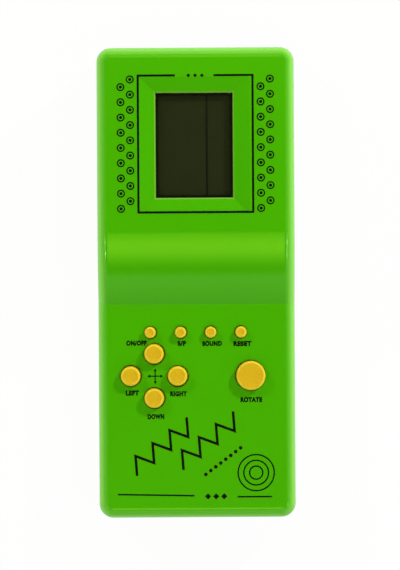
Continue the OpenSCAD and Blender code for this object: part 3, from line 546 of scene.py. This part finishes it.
# the sunken ring around the screen, with mitred corners and a short rim
def sinkWindow(mould):
    s = frontShell
    halfX = s["window"][0] / 2
    halfY = s["window"][1] / 2
    outX = halfX + s["bevelWidth"][0]
    outY = halfY + s["bevelWidth"][1]
    middle = Vector((*s["windowMiddle"], screenFace)) * mm
    for side in (-1, 1):
        strip = [f for f in mould.faces if f.normal.z > s["flatLean"]
                 and f.calc_area() > s["stripArea"] * mm * mm
                 and abs(f.calc_center_median().y - middle.y) < s["stripNear"] * mm]
        geom = strip + [e for f in strip for e in f.edges] + [v for f in strip for v in f.verts]
        bmesh.ops.bisect_plane(mould, geom=list(dict.fromkeys(geom)), dist=tiny,
                               plane_co=(middle.x + side * outX * mm, 0, 0), plane_no=(1, 0, 0))
    flats = [f for f in mould.faces if f.normal.z > s["flatLean"]]
    ring = min(flats, key=lambda f: (f.calc_center_median() - middle).length)
    step = min(s["bevelWidth"]) * mm
    bmesh.ops.inset_individual(mould, faces=[ring], thickness=step, use_even_offset=True)
    scale = (halfX * mm / (outX * mm - step), halfY * mm / (outY * mm - step), 1)
    bmesh.ops.scale(mould, vec=scale, verts=ring.verts[:], space=Matrix.Translation(-middle))
    bmesh.ops.translate(mould, verts=ring.verts[:], vec=(0, 0, -s["bevelDepth"] * mm))
    lip = ring.edges[:]
    drawn = bmesh.ops.extrude_face_region(mould, geom=[ring])["geom"]
    foot = vertsOf(drawn)
    bmesh.ops.translate(mould, verts=foot, vec=(0, 0, -s["rimDepth"] * mm))
    bmesh.ops.scale(mould, vec=(1 - s["rimDraft"] / halfX, 1 - s["rimDraft"] / halfY, 1), verts=foot,
                    space=Matrix.Translation(-middle))
    floors = [f for f in drawn + [ring] if isinstance(f, bmesh.types.BMFace) and f.is_valid]
    bmesh.ops.delete(mould, geom=floors, context="FACES_ONLY")
    eased = bmesh.ops.bevel(mould, geom=lip, offset=s["rimRound"] * mm, segments=s["rimSteps"], profile=0.5,
                            affect="EDGES", material=-1)
    # the middle of the lip gets a greyish painted highlight
    markPaintedHighlight(mould, eased["faces"], "lip")


# rods that cut the key holes
def keyHoles():
    s = frontShell
    mould = bmesh.new()
    for key in keys:
        low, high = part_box(key + "_button")
        r = (high.x - low.x) / 2 - (keyCap["flange"] - s["keyGap"]) * mm
        leanX, leanY = s["holeLean"][key]
        x = (low.x + high.x) / 2 + leanX * mm
        y = (low.y + high.y) / 2 + leanY * mm
        bmesh.ops.create_cone(mould, cap_ends=True, segments=s["holeSteps"], radius1=r, radius2=r,
                              depth=s["holeDepth"] * mm, matrix=Matrix.Translation((x, y, keyFace * mm)))
    return meshObject("keyHoleCutter", mould)


# keys: a cap with a round rim and a dished top, a flange behind the face and a stem, heights from its foot
keyCap = {"flange": 0.7, "flangeLow": 2.5, "flangeHigh": 3.7, "stemIn": 0.9, "round": 0.85, "roundSteps": 6,
          "dish": 0.2, "dishRings": 6, "draft": 0.2, "crossDraft": 0.42, "steps": 96}
crossKeys = ("up", "left", "right", "down")


# the upright axis through the middle of a box
def axisOf(low, high):
    return Vector(((low.x + high.x) / 2, (low.y + high.y) / 2, 0))


# spins an outline of (radius, height) points in mm about a key's axis
def spinOutline(points, middle, steps):
    mould = bmesh.new()
    corners = [mould.verts.new((middle.x + r * mm, middle.y, z * mm)) for r, z in points]
    for a, b in zip(corners, corners[1:]):
        mould.edges.new((a, b))
    bmesh.ops.spin(mould, geom=mould.verts[:] + mould.edges[:], cent=middle, axis=(0, 0, 1),
                   angle=2 * math.pi, steps=steps, use_merge=True)
    bmesh.ops.remove_doubles(mould, verts=mould.verts[:], dist=tiny)
    turnOut(mould)
    return mould


def buildKey(key):
    c = keyCap
    low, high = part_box(key + "_button")
    middle = axisOf(low, high)
    foot = low.z / mm
    top = high.z / mm
    r = (high.x - low.x) / 2 / mm - c["flange"]
    draft = c["crossDraft"] if key in crossKeys else c["draft"]
    points = [(0, foot), (r - c["stemIn"], foot), (r - c["stemIn"], foot + c["flangeLow"]),
              (r + c["flange"], foot + c["flangeLow"]), (r + c["flange"], foot + c["flangeHigh"]),
              (r, foot + c["flangeHigh"]), (r - draft, top)]
    dishR = r - draft - c["round"]
    for i in range(c["dishRings"]):
        u = 1 - i / c["dishRings"]
        points.append((dishR * u, top - c["dish"] * (1 - u ** 2)))
    points.append((0, top - c["dish"]))
    mould = spinOutline(points, middle, c["steps"])
    rim = [e for e in mould.edges if all(abs(v.co.z - top * mm) < tiny and
           abs((v.co.xy - middle.xy).length - (r - draft) * mm) < tiny for v in e.verts)]
    eased = bmesh.ops.bevel(mould, geom=rim, offset=c["round"] * mm, segments=c["roundSteps"], profile=0.5,
                            affect="EDGES", material=-1)
    # the middle of the rim carries the painted highlight
    markPaintedHighlight(mould, eased["faces"])
    return finishPiece(key + "Key", mould, yellowAbs, key + "_key", [key + "_button"])


# rubber domes under the keys, built in their rest shape
keyDome = {"height": 3.55, "sheet": 1.0, "lift": 0.02, "shoulder": 0.3, "bore": 0.7, "top": 1.1,
           "ceilingEdge": 1.45, "ceiling": 2.05, "steps": 64, "travel": 1.2}


def buildDome(key):
    d = keyDome
    low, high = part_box(key + "_dome")
    middle = axisOf(low, high)
    board = low.z / mm - d["lift"]
    foot = (high.x - low.x) / 2 / mm
    points = [(0, board + d["height"]), (foot - d["top"], board + d["height"]),
              (foot - d["shoulder"], board + d["sheet"]), (foot, board + d["sheet"]),
              (foot, board + d["lift"]), (foot - d["bore"], board + d["lift"]),
              (foot - d["ceilingEdge"], board + d["ceiling"]), (0, board + d["ceiling"])]
    mould = spinOutline(points, middle, d["steps"])
    piece = finishPiece(key + "Dome", mould, greyRubber, "case", [key + "_dome"])
    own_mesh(piece)
    return piece


buildFrontShell()
print("front shell built")
for key in keys:
    buildKey(key)
    buildDome(key)
print("keys and domes built:", len(keys))


# cone coils at the cell ends
coil = {"turns": 4, "stepsPerTurn": 24, "footRound": 3.6, "tipRound": 2.2, "wire": 0.8, "wireSteps": 4,
        "sharp": 60}


def buildCoil(node, towards):
    c = coil
    low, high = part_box(node)
    count = c["turns"] * c["stepsPerTurn"]
    start = (low.x if towards > 0 else high.x) + towards * c["wire"] / 2 * mm
    run = (high.x - low.x) - c["wire"] * mm
    path = bpy.data.curves.new(node, "CURVE")
    path.dimensions = "3D"
    path.bevel_depth = c["wire"] / 2 * mm
    path.bevel_resolution = c["wireSteps"]
    path.use_fill_caps = True
    line = path.splines.new("POLY")
    line.points.add(count)
    axisY = cellAxis[node] * mm
    for i in range(count + 1):
        u = i / count
        r = (c["footRound"] + (c["tipRound"] - c["footRound"]) * u) * mm
        a = 2 * math.pi * c["turns"] * u
        line.points[i].co = (start + towards * run * u, axisY + r * math.cos(a),
                             coilHeight * mm + r * math.sin(a), 1)
    drawn = bpy.data.objects.new(node, path)
    mould = bmesh.new()
    mould.from_mesh(bpy.data.meshes.new_from_object(drawn))
    bpy.data.objects.remove(drawn)
    return finishPiece(node.replace("_s", "S"), mould, springSteel, "case", [node],
                       c["sharp"])


cellAxis = {name: (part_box(cell)[0].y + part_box(cell)[1].y) / 2 / mm
            for name, cell in (("bridge_spring", "upper_cell"), ("negative_spring", "lower_cell"))}
coilHeight = (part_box("upper_cell")[0].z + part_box("upper_cell")[1].z) / 2 / mm
buildCoil("bridge_spring", 1)
buildCoil("negative_spring", -1)


# foam gasket between the lens and the glass, with eased edges
gasket = {"band": 2.7, "ease": 0.15, "easeSteps": 2, "leastAngle": 1}


def buildGasket():
    g = gasket
    low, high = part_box("lens_gasket")
    size = high - low
    mould = bmesh.new()
    place = Matrix.Translation(((low.x + high.x) / 2, (low.y + high.y) / 2, low.z))
    addFace(mould, place @ Matrix.Diagonal((size.x, size.y, 1, 1)))
    middle = mould.faces[:]
    bmesh.ops.inset_individual(mould, faces=middle, thickness=g["band"] * mm, use_even_offset=True)
    bmesh.ops.delete(mould, geom=middle, context="FACES")
    drawn = bmesh.ops.extrude_face_region(mould, geom=mould.faces[:], use_keep_orig=True)["geom"]
    bmesh.ops.translate(mould, verts=vertsOf(drawn), vec=(0, 0, size.z))
    turnOut(mould)
    sharp = [e for e in mould.edges if len(e.link_faces) == 2 and e.calc_face_angle() > g["leastAngle"]]
    bmesh.ops.bevel(mould, geom=sharp, offset=g["ease"] * mm, segments=g["easeSteps"], profile=0.5,
                    affect="EDGES", material=-1)
    return finishPiece("foamGasket", mould, blackFoam, "case", ["lens_gasket"])


buildGasket()
print("coils and gasket built")


# printing: thin marks on the two faces
ink = {"thick": 0.012, "clear": 0.006, "bold": 0.076, "spacing": 1.16, "weld": 1e-5}


def inkBar(mould, start, end, width):
    a = Vector((*start, 0)) * mm
    b = Vector((*end, 0)) * mm
    turn = Matrix.Rotation(math.atan2(b.y - a.y, b.x - a.x), 4, "Z")
    size = Matrix.Diagonal(((b - a).length, width * mm, 1, 1))
    addFace(mould, Matrix.Translation((a + b) / 2) @ turn @ size)


def inkRing(mould, middle, outer, inner, steps=32):
    at = Vector((*middle, 0)) * mm
    near = mould.verts.new(at + Vector((inner * mm, 0, 0)))
    far = mould.verts.new(at + Vector((outer * mm, 0, 0)))
    side = mould.edges.new((near, far))
    bmesh.ops.spin(mould, geom=[near, far, side], cent=at, axis=(0, 0, 1), angle=2 * math.pi, steps=steps,
                   use_merge=True)


def inkDisc(mould, middle, r, corners=24, turn=0):
    place = Matrix.Translation(Vector((*middle, 0)) * mm) @ Matrix.Rotation(math.radians(turn), 4, "Z")
    bmesh.ops.create_circle(mould, cap_ends=True, radius=r * mm, segments=corners, matrix=place)


# a zigzag ribbon: one short edge drawn on from point to point, mitred between and square at both ends
def inkZigzag(mould, points, across, width):
    first = Vector((*points[0], 0)) * mm
    side = Vector((*across, 0)) * mm / 2
    edge = mould.edges.new((mould.verts.new(first - side), mould.verts.new(first + side)))
    tips = [edge]
    for start, end in zip(points, points[1:]):
        drawn = bmesh.ops.extrude_edge_only(mould, edges=[edge])["geom"]
        ends = vertsOf(drawn)
        bmesh.ops.translate(mould, verts=ends, vec=Vector((*(end - start), 0)) * mm)
        edge = mould.edges.get(ends)
    tips.append(edge)
    for tip, here, other in zip(tips, (points[0], points[-1]), (points[1], points[-2])):
        square = (other - here).orthogonal().normalized() * width / 2
        turned = square if square.dot(across) > 0 else -square
        low, high = sorted(tip.verts, key=lambda v: v.co.xy.dot(across))
        low.co.xy = (here - turned) * mm
        high.co.xy = (here + turned) * mm


# a rectangular line, open along a part of its upper side
def inkFrame(mould, middle, half, line, gap):
    place = Matrix.Translation(Vector((*middle, 0)) * mm)
    addFace(mould, place @ Matrix.Diagonal((2 * half[0] * mm, 2 * half[1] * mm, 1, 1)))
    inside = mould.faces[:]
    bmesh.ops.inset_individual(mould, faces=inside, thickness=line * mm, use_even_offset=True)
    bmesh.ops.delete(mould, geom=inside, context="FACES")
    for x in gap:
        bmesh.ops.bisect_plane(mould, geom=allOf(mould), dist=tiny, plane_co=(x * mm, 0, 0),
                               plane_no=(1, 0, 0))
    middles = {f: f.calc_center_median() / mm for f in mould.faces}
    between = [f for f, m in middles.items() if gap[0] < m.x < gap[1] and m.y > middle[1]]
    bmesh.ops.delete(mould, geom=between, context="FACES")


# gives the flat marks their thickness
def thickenInk(mould):
    mould.normal_update()
    for f in mould.faces:
        if f.normal.z < 0:
            f.normal_flip()
    drawn = bmesh.ops.extrude_face_region(mould, geom=mould.faces[:], use_keep_orig=True)["geom"]
    bmesh.ops.translate(mould, verts=vertsOf(drawn), vec=(0, 0, ink["thick"] * mm))
    turnOut(mould)


# a word with bold strokes, fitted to its place
def inkWord(mould, word, middle, width, height):
    text = bpy.data.curves.new(word, "FONT")
    text.body = word
    text.space_character = ink["spacing"]
    text.bevel_depth = ink["bold"]
    text.bevel_resolution = 0
    drawn = bpy.data.objects.new(word, text)
    mesh = bpy.data.meshes.new_from_object(drawn)
    low = Vector([min(v.co[i] for v in mesh.vertices) for i in range(3)])
    high = Vector([max(v.co[i] for v in mesh.vertices) for i in range(3)])
    room = Vector((width, height, ink["thick"])) * mm
    fit = Matrix.Diagonal([room[i] / (high[i] - low[i]) for i in range(3)] + [1])
    letters = bmesh.new()
    letters.from_mesh(mesh)
    bmesh.ops.remove_doubles(letters, verts=letters.verts[:], dist=ink["weld"])
    turnOut(letters)
    place = Matrix.Translation(Vector((*middle, ink["thick"] / 2)) * mm)
    letters.transform(place @ fit @ Matrix.Translation(-(low + high) / 2))
    letters.to_mesh(mesh)
    letters.free()
    mould.from_mesh(mesh)
    bpy.data.objects.remove(drawn)


def layInk(name, mould, face):
    bmesh.ops.translate(mould, verts=mould.verts[:], vec=(0, 0, (face + ink["clear"]) * mm))
    return finishPiece(name, mould, blackInk, "case")


# frame line around the screen with three small marks in its gap, and staggered rings beside it
screenPrint = {"middle": 53.1, "half": (22.28, 26.5), "line": 0.82, "gap": (-7.7, 7.0),
               "gapMarks": (-2.6, 0, 2.6), "mark": 0.75, "columns": (-28.5, -24.9, 24.9, 28.5), "rows": 9,
               "pitch": 5.8, "ring": (1.55, 1.02), "ringDot": 0.62}


def printScreen():
    p = screenPrint
    mould = bmesh.new()
    inkFrame(mould, (0, p["middle"]), p["half"], p["line"], p["gap"])
    high = p["middle"] + p["half"][1] - p["line"] / 2
    for x in p["gapMarks"]:
        inkDisc(mould, (x, high), p["mark"], corners=4)
    for i, x in enumerate(p["columns"]):
        # every second column is half a pitch higher
        shift = (i % 2) / 2 - 0.25
        for row in range(p["rows"]):
            y = p["middle"] + (row - (p["rows"] - 1) / 2 + shift) * p["pitch"]
            inkRing(mould, (x, y), *p["ring"])
            inkDisc(mould, (x, y), p["ringDot"])
    thickenInk(mould)
    return layInk("screenPrint", mould, screenFace)


# words at the keys, the four-way arrow, the slanted zigzags, the dots and rings, and the rules at the foot
panelPrint = {
    "words": {"ON/OFF": (-23.1, -22.9, 7.8), "S/P": (-5.7, -23.1, 3.3), "SOUND": (5.9, -23.2, 7.5),
              "RESET": (17.5, -23.3, 6.9), "LEFT": (-24.8, -42.0, 5.1), "RIGHT": (-7.1, -42.4, 6.4),
              "DOWN": (-15.8, -51.1, 6.4), "ROTATE": (20.8, -44.8, 8.3)},
    "wordHigh": 2.0, "arrow": (-16.0, -35.6), "arrowHalf": 2.3, "arrowLine": 0.4, "arrowHead": 0.75,
    "slant": 37, "zigzags": ((-13.6, -62.6), (4.2, -60.4)), "teeth": 7, "toothRun": 4.1, "toothRise": 6.4,
    "stroke": 1.0, "dotRow": (9.9, -68.3), "dots": 8, "dotPitch": 2.4, "dot": 0.7,
    "round": (22.5, -72.8), "rounds": (7.2, 5.0, 2.8), "roundLine": 0.55, "roundSteps": 64,
    "rules": (((-30.5, -80.9), (-1.2, -81.5)), ((15.3, -82.0), (28.5, -82.0))), "ruleLine": 0.6,
    "marks": ((4.0, -81.8), (7.1, -81.8), (10.2, -81.8)), "mark": 1.2}


def printPanel():
    p = panelPrint
    mould = bmesh.new()
    x, y = p["arrow"]
    reach = p["arrowHalf"]
    foot = reach - p["arrowHead"] / 2
    inkBar(mould, (x - foot, y), (x + foot, y), p["arrowLine"])
    inkBar(mould, (x, y - foot), (x, y - p["arrowLine"] / 2), p["arrowLine"])
    inkBar(mould, (x, y + p["arrowLine"] / 2), (x, y + foot), p["arrowLine"])
    for turn in (0, 90, 180, 270):
        a = math.radians(turn)
        tip = (x + reach * math.cos(a), y + reach * math.sin(a))
        inkDisc(mould, tip, p["arrowHead"], corners=3, turn=turn - 90)
    slope = Matrix.Rotation(math.radians(p["slant"]), 2)
    # the stroke's width along the rise, so that the slanted runs are as wide as given
    across = slope @ Vector((0, p["stroke"] * math.hypot(p["toothRun"], p["toothRise"]) / p["toothRun"]))
    steps = [((i - p["teeth"] / 2) * p["toothRun"], (i % 2 - 0.5) * p["toothRise"])
             for i in range(p["teeth"] + 1)]
    for middle in p["zigzags"]:
        inkZigzag(mould, [Vector(middle) + slope @ Vector(step) for step in steps], across, p["stroke"])
    for i in range(p["dots"]):
        along = Vector(((i - (p["dots"] - 1) / 2) * p["dotPitch"], 0))
        inkDisc(mould, Vector(p["dotRow"]) + slope @ along, p["dot"])
    for r in p["rounds"]:
        inkRing(mould, p["round"], r, r - p["roundLine"], p["roundSteps"])
    for a, b in p["rules"]:
        inkBar(mould, a, b, p["ruleLine"])
    for middle in p["marks"]:
        inkDisc(mould, middle, p["mark"], corners=4)
    thickenInk(mould)
    for word, (x, y, width) in p["words"].items():
        inkWord(mould, word, (x, y), width, p["wordHigh"])
    return layInk("panelPrint", mould, keyFace)


printScreen()
printPanel()
print("printing laid on both faces")


# finishes of the parts that keep their CAD shape
finishes = {
    greenAbs: ["rear_shell", "battery_door"],
    acrylic: ["screen_lens"],
    lcdFilm: ["lcd_polariser"],
    displayGlass: ["lcd_front_glass", "lcd_rear_glass"],
    silverFilm: ["lcd_reflector"],
    whiteStyrene: ["lcd_carrier"],
    amberFilm: ["lcd_ribbon"],
    greyRubber: ["keypad_mat"],
    carbonRubber: [key + "_pill" for key in keys],
    brownBoard: ["circuit_board"],
    chipEpoxy: ["chip_cover"],
    blueSleeve: ["filter_capacitor"],
    beigeLacquer: ["resistors"],
    zincSteel: ["case_screws", "carrier_screws", "board_screws"],
    greyCellFilm: ["lower_cell"],
    tealCellFilm: ["upper_cell"],
    nickelStrip: ["positive_contact", "negative_contact", "bridge_contact"],
    redPvc: ["positive_lead", "buzzer_ceramic_lead"],
    blackPvc: ["negative_lead", "buzzer_plate_lead"],
    rolledBrass: ["buzzer_plate"],
    firedCeramic: ["buzzer_ceramic"]}
for material, names in finishes.items():
    for name in names:
        nodes[name].data.materials.clear()
        nodes[name].data.materials.append(material)
print("finishes set on", sum(len(names) for names in finishes.values()), "parts")


# floor: plain white, seen as paper white, with the console's shadow left in it; from below it is clear
floorLook = {"radius": 3, "sides": 96, "level": -0.0002, "white": "#f4f4f2", "fibre": "#f0f0ee",
             "fibreScale": 60, "rough": 0.9, "glow": 0.96}


def buildFloor():
    f = floorLook
    material = bpy.data.materials.new("floorPaperWhite")
    material.use_nodes = True
    shader = material.node_tree.nodes["Principled BSDF"]
    where = addNode(material, "TexCoord").outputs["Object"]
    fibre = addNode(material, "TexNoise", {"Scale": f["fibreScale"]}, {"Vector": where})
    colours = {"data_type": "RGBA", 6: hexLinear(f["white"]), 7: hexLinear(f["fibre"])}
    tone = addNode(material, "Mix", colours, {0: fibre.outputs["Fac"]})
    rays = addNode(material, "LightPath")
    straight = addNode(material, "Math", {"operation": "MAXIMUM"},
                       {0: rays.outputs["Is Camera Ray"], 1: rays.outputs["Is Glossy Ray"]})
    seen = addNode(material, "Math", {"operation": "MAXIMUM"},
                   {0: straight.outputs[0], 1: rays.outputs["Is Transmission Ray"]})
    share = addNode(material, "Math", {"operation": "MULTIPLY", 1: f["glow"]}, {0: seen.outputs[0]})
    white = addNode(material, "Emission", {"Color": (1, 1, 1, 1), "Strength": 1})
    both = addNode(material, "MixShader",
                   links={0: share.outputs[0], 1: shader.outputs[0], 2: white.outputs[0]})
    under = addNode(material, "NewGeometry").outputs["Backfacing"]
    clear = addNode(material, "BsdfTransparent")
    sheet = addNode(material, "MixShader", links={0: under, 1: both.outputs[0], 2: clear.outputs[0]})
    shader.inputs["Roughness"].default_value = f["rough"]
    join = material.node_tree.links.new
    join(tone.outputs[2], shader.inputs["Base Color"])
    join(sheet.outputs[0], material.node_tree.nodes["Material Output"].inputs["Surface"])
    mould = bmesh.new()
    bmesh.ops.create_circle(mould, cap_ends=True, segments=f["sides"], radius=f["radius"],
                            matrix=Matrix.Translation((0, 0, f["level"])))
    floor = meshObject("floor", mould, material)
    # the lower half of the studio lights the console in its place, so its back is lit as well
    floor.visible_diffuse = False
    floor.visible_shadow = False


buildFloor()


# studio: dim walls, a bright front, glowing low sides and a dark ceiling with two long windows in it
studio = {"wall": 0.08, "frontWall": 1.04, "frontFrom": -0.6, "frontTo": -0.1,
          "lowShare": 0.5, "lowFrom": -0.95, "lowTo": -0.7,
          "ceiling": 0.02, "ceilingLean": 12, "ceilingHalf": (24, 26.5),
          "side": 0.8, "sideFrom": 0.5, "sideTo": 0.15, "front": 0.2,
          "window": 5.0, "windowHalf": (0.07, 0.115), "windowLight": "#ddec61",
          "frontWindow": ((-3.5, -14.5), (-31, -20)), "rearWindow": ((4, 7), (34, 22)), "rearShare": 0.5,
          "paper": 0.98}


# a lit strip of the ceiling: dark and full tilts of its near and far edges, in degrees towards the back
def ceilingStrip(world, tilt, edges):
    ramps = []
    for dark, full in edges:
        ends = {"From Min": math.tan(math.radians(dark)), "From Max": math.tan(math.radians(full))}
        ramps.append(addNode(world, "MapRange", ends, {"Value": tilt}).outputs[0])
    return addNode(world, "Math", {"operation": "MULTIPLY"}, {0: ramps[0], 1: ramps[1]}).outputs[0]


def buildWorld():
    s = studio
    world = bpy.data.worlds.new("studio")
    world.use_nodes = True
    scene.world = world
    where = addNode(world, "TexCoord").outputs["Generated"]
    axes = addNode(world, "SeparateXYZ", links={0: where})
    lean = math.radians(s["ceilingLean"])
    straightUp = (0, -math.sin(lean), math.cos(lean))
    off = addNode(world, "VectorMath", {"operation": "DOT_PRODUCT", 1: straightUp}, {0: where})
    inner, outer = (math.cos(math.radians(a)) for a in s["ceilingHalf"])
    toFront = {"From Min": s["frontFrom"], "From Max": s["frontTo"]}
    back = addNode(world, "MapRange", {**toFront, "To Min": s["frontWall"], "To Max": s["wall"]},
                   {"Value": axes.outputs["Y"]})
    toLow = {"From Min": s["lowFrom"], "From Max": s["lowTo"], "To Min": s["lowShare"]}
    dim = addNode(world, "MapRange", toLow, {"Value": axes.outputs["Y"]})
    back = addNode(world, "Math", {"operation": "MULTIPLY"}, {0: back.outputs[0], 1: dim.outputs[0]})
    wall = addNode(world, "MapRange", {"From Min": outer, "From Max": inner, "To Max": s["ceiling"]},
                   {"Value": off.outputs["Value"], "To Min": back.outputs[0]})
    toSide = {"From Min": s["sideFrom"], "From Max": s["sideTo"], "To Max": s["side"]}
    low = addNode(world, "MapRange", toSide, {"Value": axes.outputs["Z"]})
    front = addNode(world, "MapRange", {**toFront, "To Min": s["front"]}, {"Value": axes.outputs["Y"]})
    side = addNode(world, "Math", {"operation": "MULTIPLY_ADD"},
                   {0: low.outputs[0], 1: front.outputs[0], 2: wall.outputs[0]})
    tilt = addNode(world, "Math", {"operation": "DIVIDE"}, {0: axes.outputs["Y"], 1: axes.outputs["Z"]})
    nearStrip = ceilingStrip(world, tilt.outputs[0], s["frontWindow"])
    farStrip = ceilingStrip(world, tilt.outputs[0], s["rearWindow"])
    above = addNode(world, "Math", {"operation": "GREATER_THAN", 1: 0}, {0: axes.outputs["Z"]})
    bright = addNode(world, "Math", {"operation": "MULTIPLY", 1: s["window"]}, {0: above.outputs[0]})
    aside = addNode(world, "Math", {"operation": "ABSOLUTE"}, {0: axes.outputs["X"]})
    wide = addNode(world, "MapRange", {"From Min": s["windowHalf"][1], "From Max": s["windowHalf"][0]},
                   {"Value": aside.outputs[0], "To Max": bright.outputs[0]})
    across = addNode(world, "Math", {"operation": "MULTIPLY_ADD", 1: s["rearShare"]},
                     {0: farStrip, 2: nearStrip})
    strips = addNode(world, "Math", {"operation": "MULTIPLY"}, {0: across.outputs[0], 1: wide.outputs[0]})
    level = addNode(world, "Math", {"operation": "ADD"}, {0: strips.outputs[0], 1: side.outputs[0]})
    colours = {"data_type": "RGBA", 6: hexLinear("#ffffff"), 7: hexLinear(s["windowLight"])}
    light = addNode(world, "Mix", colours, {0: strips.outputs[0]})
    # the camera sees paper white past the floor, also from below; gloss mirrors the walls and windows
    rays = addNode(world, "LightPath")
    seen = addNode(world, "Math", {"operation": "MAXIMUM"},
                   {0: rays.outputs["Is Camera Ray"], 1: rays.outputs["Is Transmission Ray"]})
    paper = addNode(world, "Background", {"Color": (1, 1, 1, 1), "Strength": s["paper"]})
    lit = world.node_tree.nodes["Background"]
    both = addNode(world, "MixShader", links={0: seen.outputs[0], 1: lit.outputs[0], 2: paper.outputs[0]})
    join = world.node_tree.links.new
    join(level.outputs[0], lit.inputs["Strength"])
    join(light.outputs[2], lit.inputs["Color"])
    join(both.outputs[0], world.node_tree.nodes["World Output"].inputs["Surface"])


buildWorld()

# lamps: place and size in metres, power in watts
# the two low ones cast the shadows of the keys; gloss doesn't mirror them, so they give no glare
lamps = {"key": {"at": (0.84, 0.83, 0.65), "size": (0.1, 0.1), "watts": 11.9, "mirrored": False},
         "fill": {"at": (-0.9, 0.76, 0.65), "size": (0.1, 0.1), "watts": 5.0, "mirrored": False},
         "back": {"at": (0, 1.2, 0.9), "size": (0.5, 0.4), "watts": 1.2, "light": "#fff0b4"},
         "leftHigh": {"at": (-0.75, -0.3, 1.2), "size": (0.05, 0.14), "watts": 1.05},
         "leftLow": {"at": (-0.7, -0.5, 1.2), "size": (0.05, 0.14), "watts": 1.05},
         "rightHigh": {"at": (0.75, -0.3, 1.2), "size": (0.05, 0.14), "watts": 1.05},
         "rightLow": {"at": (0.7, -0.5, 1.2), "size": (0.05, 0.14), "watts": 1.05}}


def buildLamps():
    for name, lamp in lamps.items():
        light = bpy.data.lights.new(name, "AREA")
        light.shape = "RECTANGLE"
        light.size, light.size_y = lamp["size"]
        light.energy = lamp["watts"]
        light.color = hexLinear(lamp.get("light", "#ffffff"))[:3]
        lightObject = bpy.data.objects.new(name, light)
        lightObject.location = lamp["at"]
        lightObject.visible_glossy = lamp.get("mirrored", True)
        lightObject.rotation_euler = (-Vector(lamp["at"])).to_track_quat("-Z", "Y").to_euler()
        scene.collection.objects.link(lightObject)


buildLamps()
print("floor, studio and lamps set")
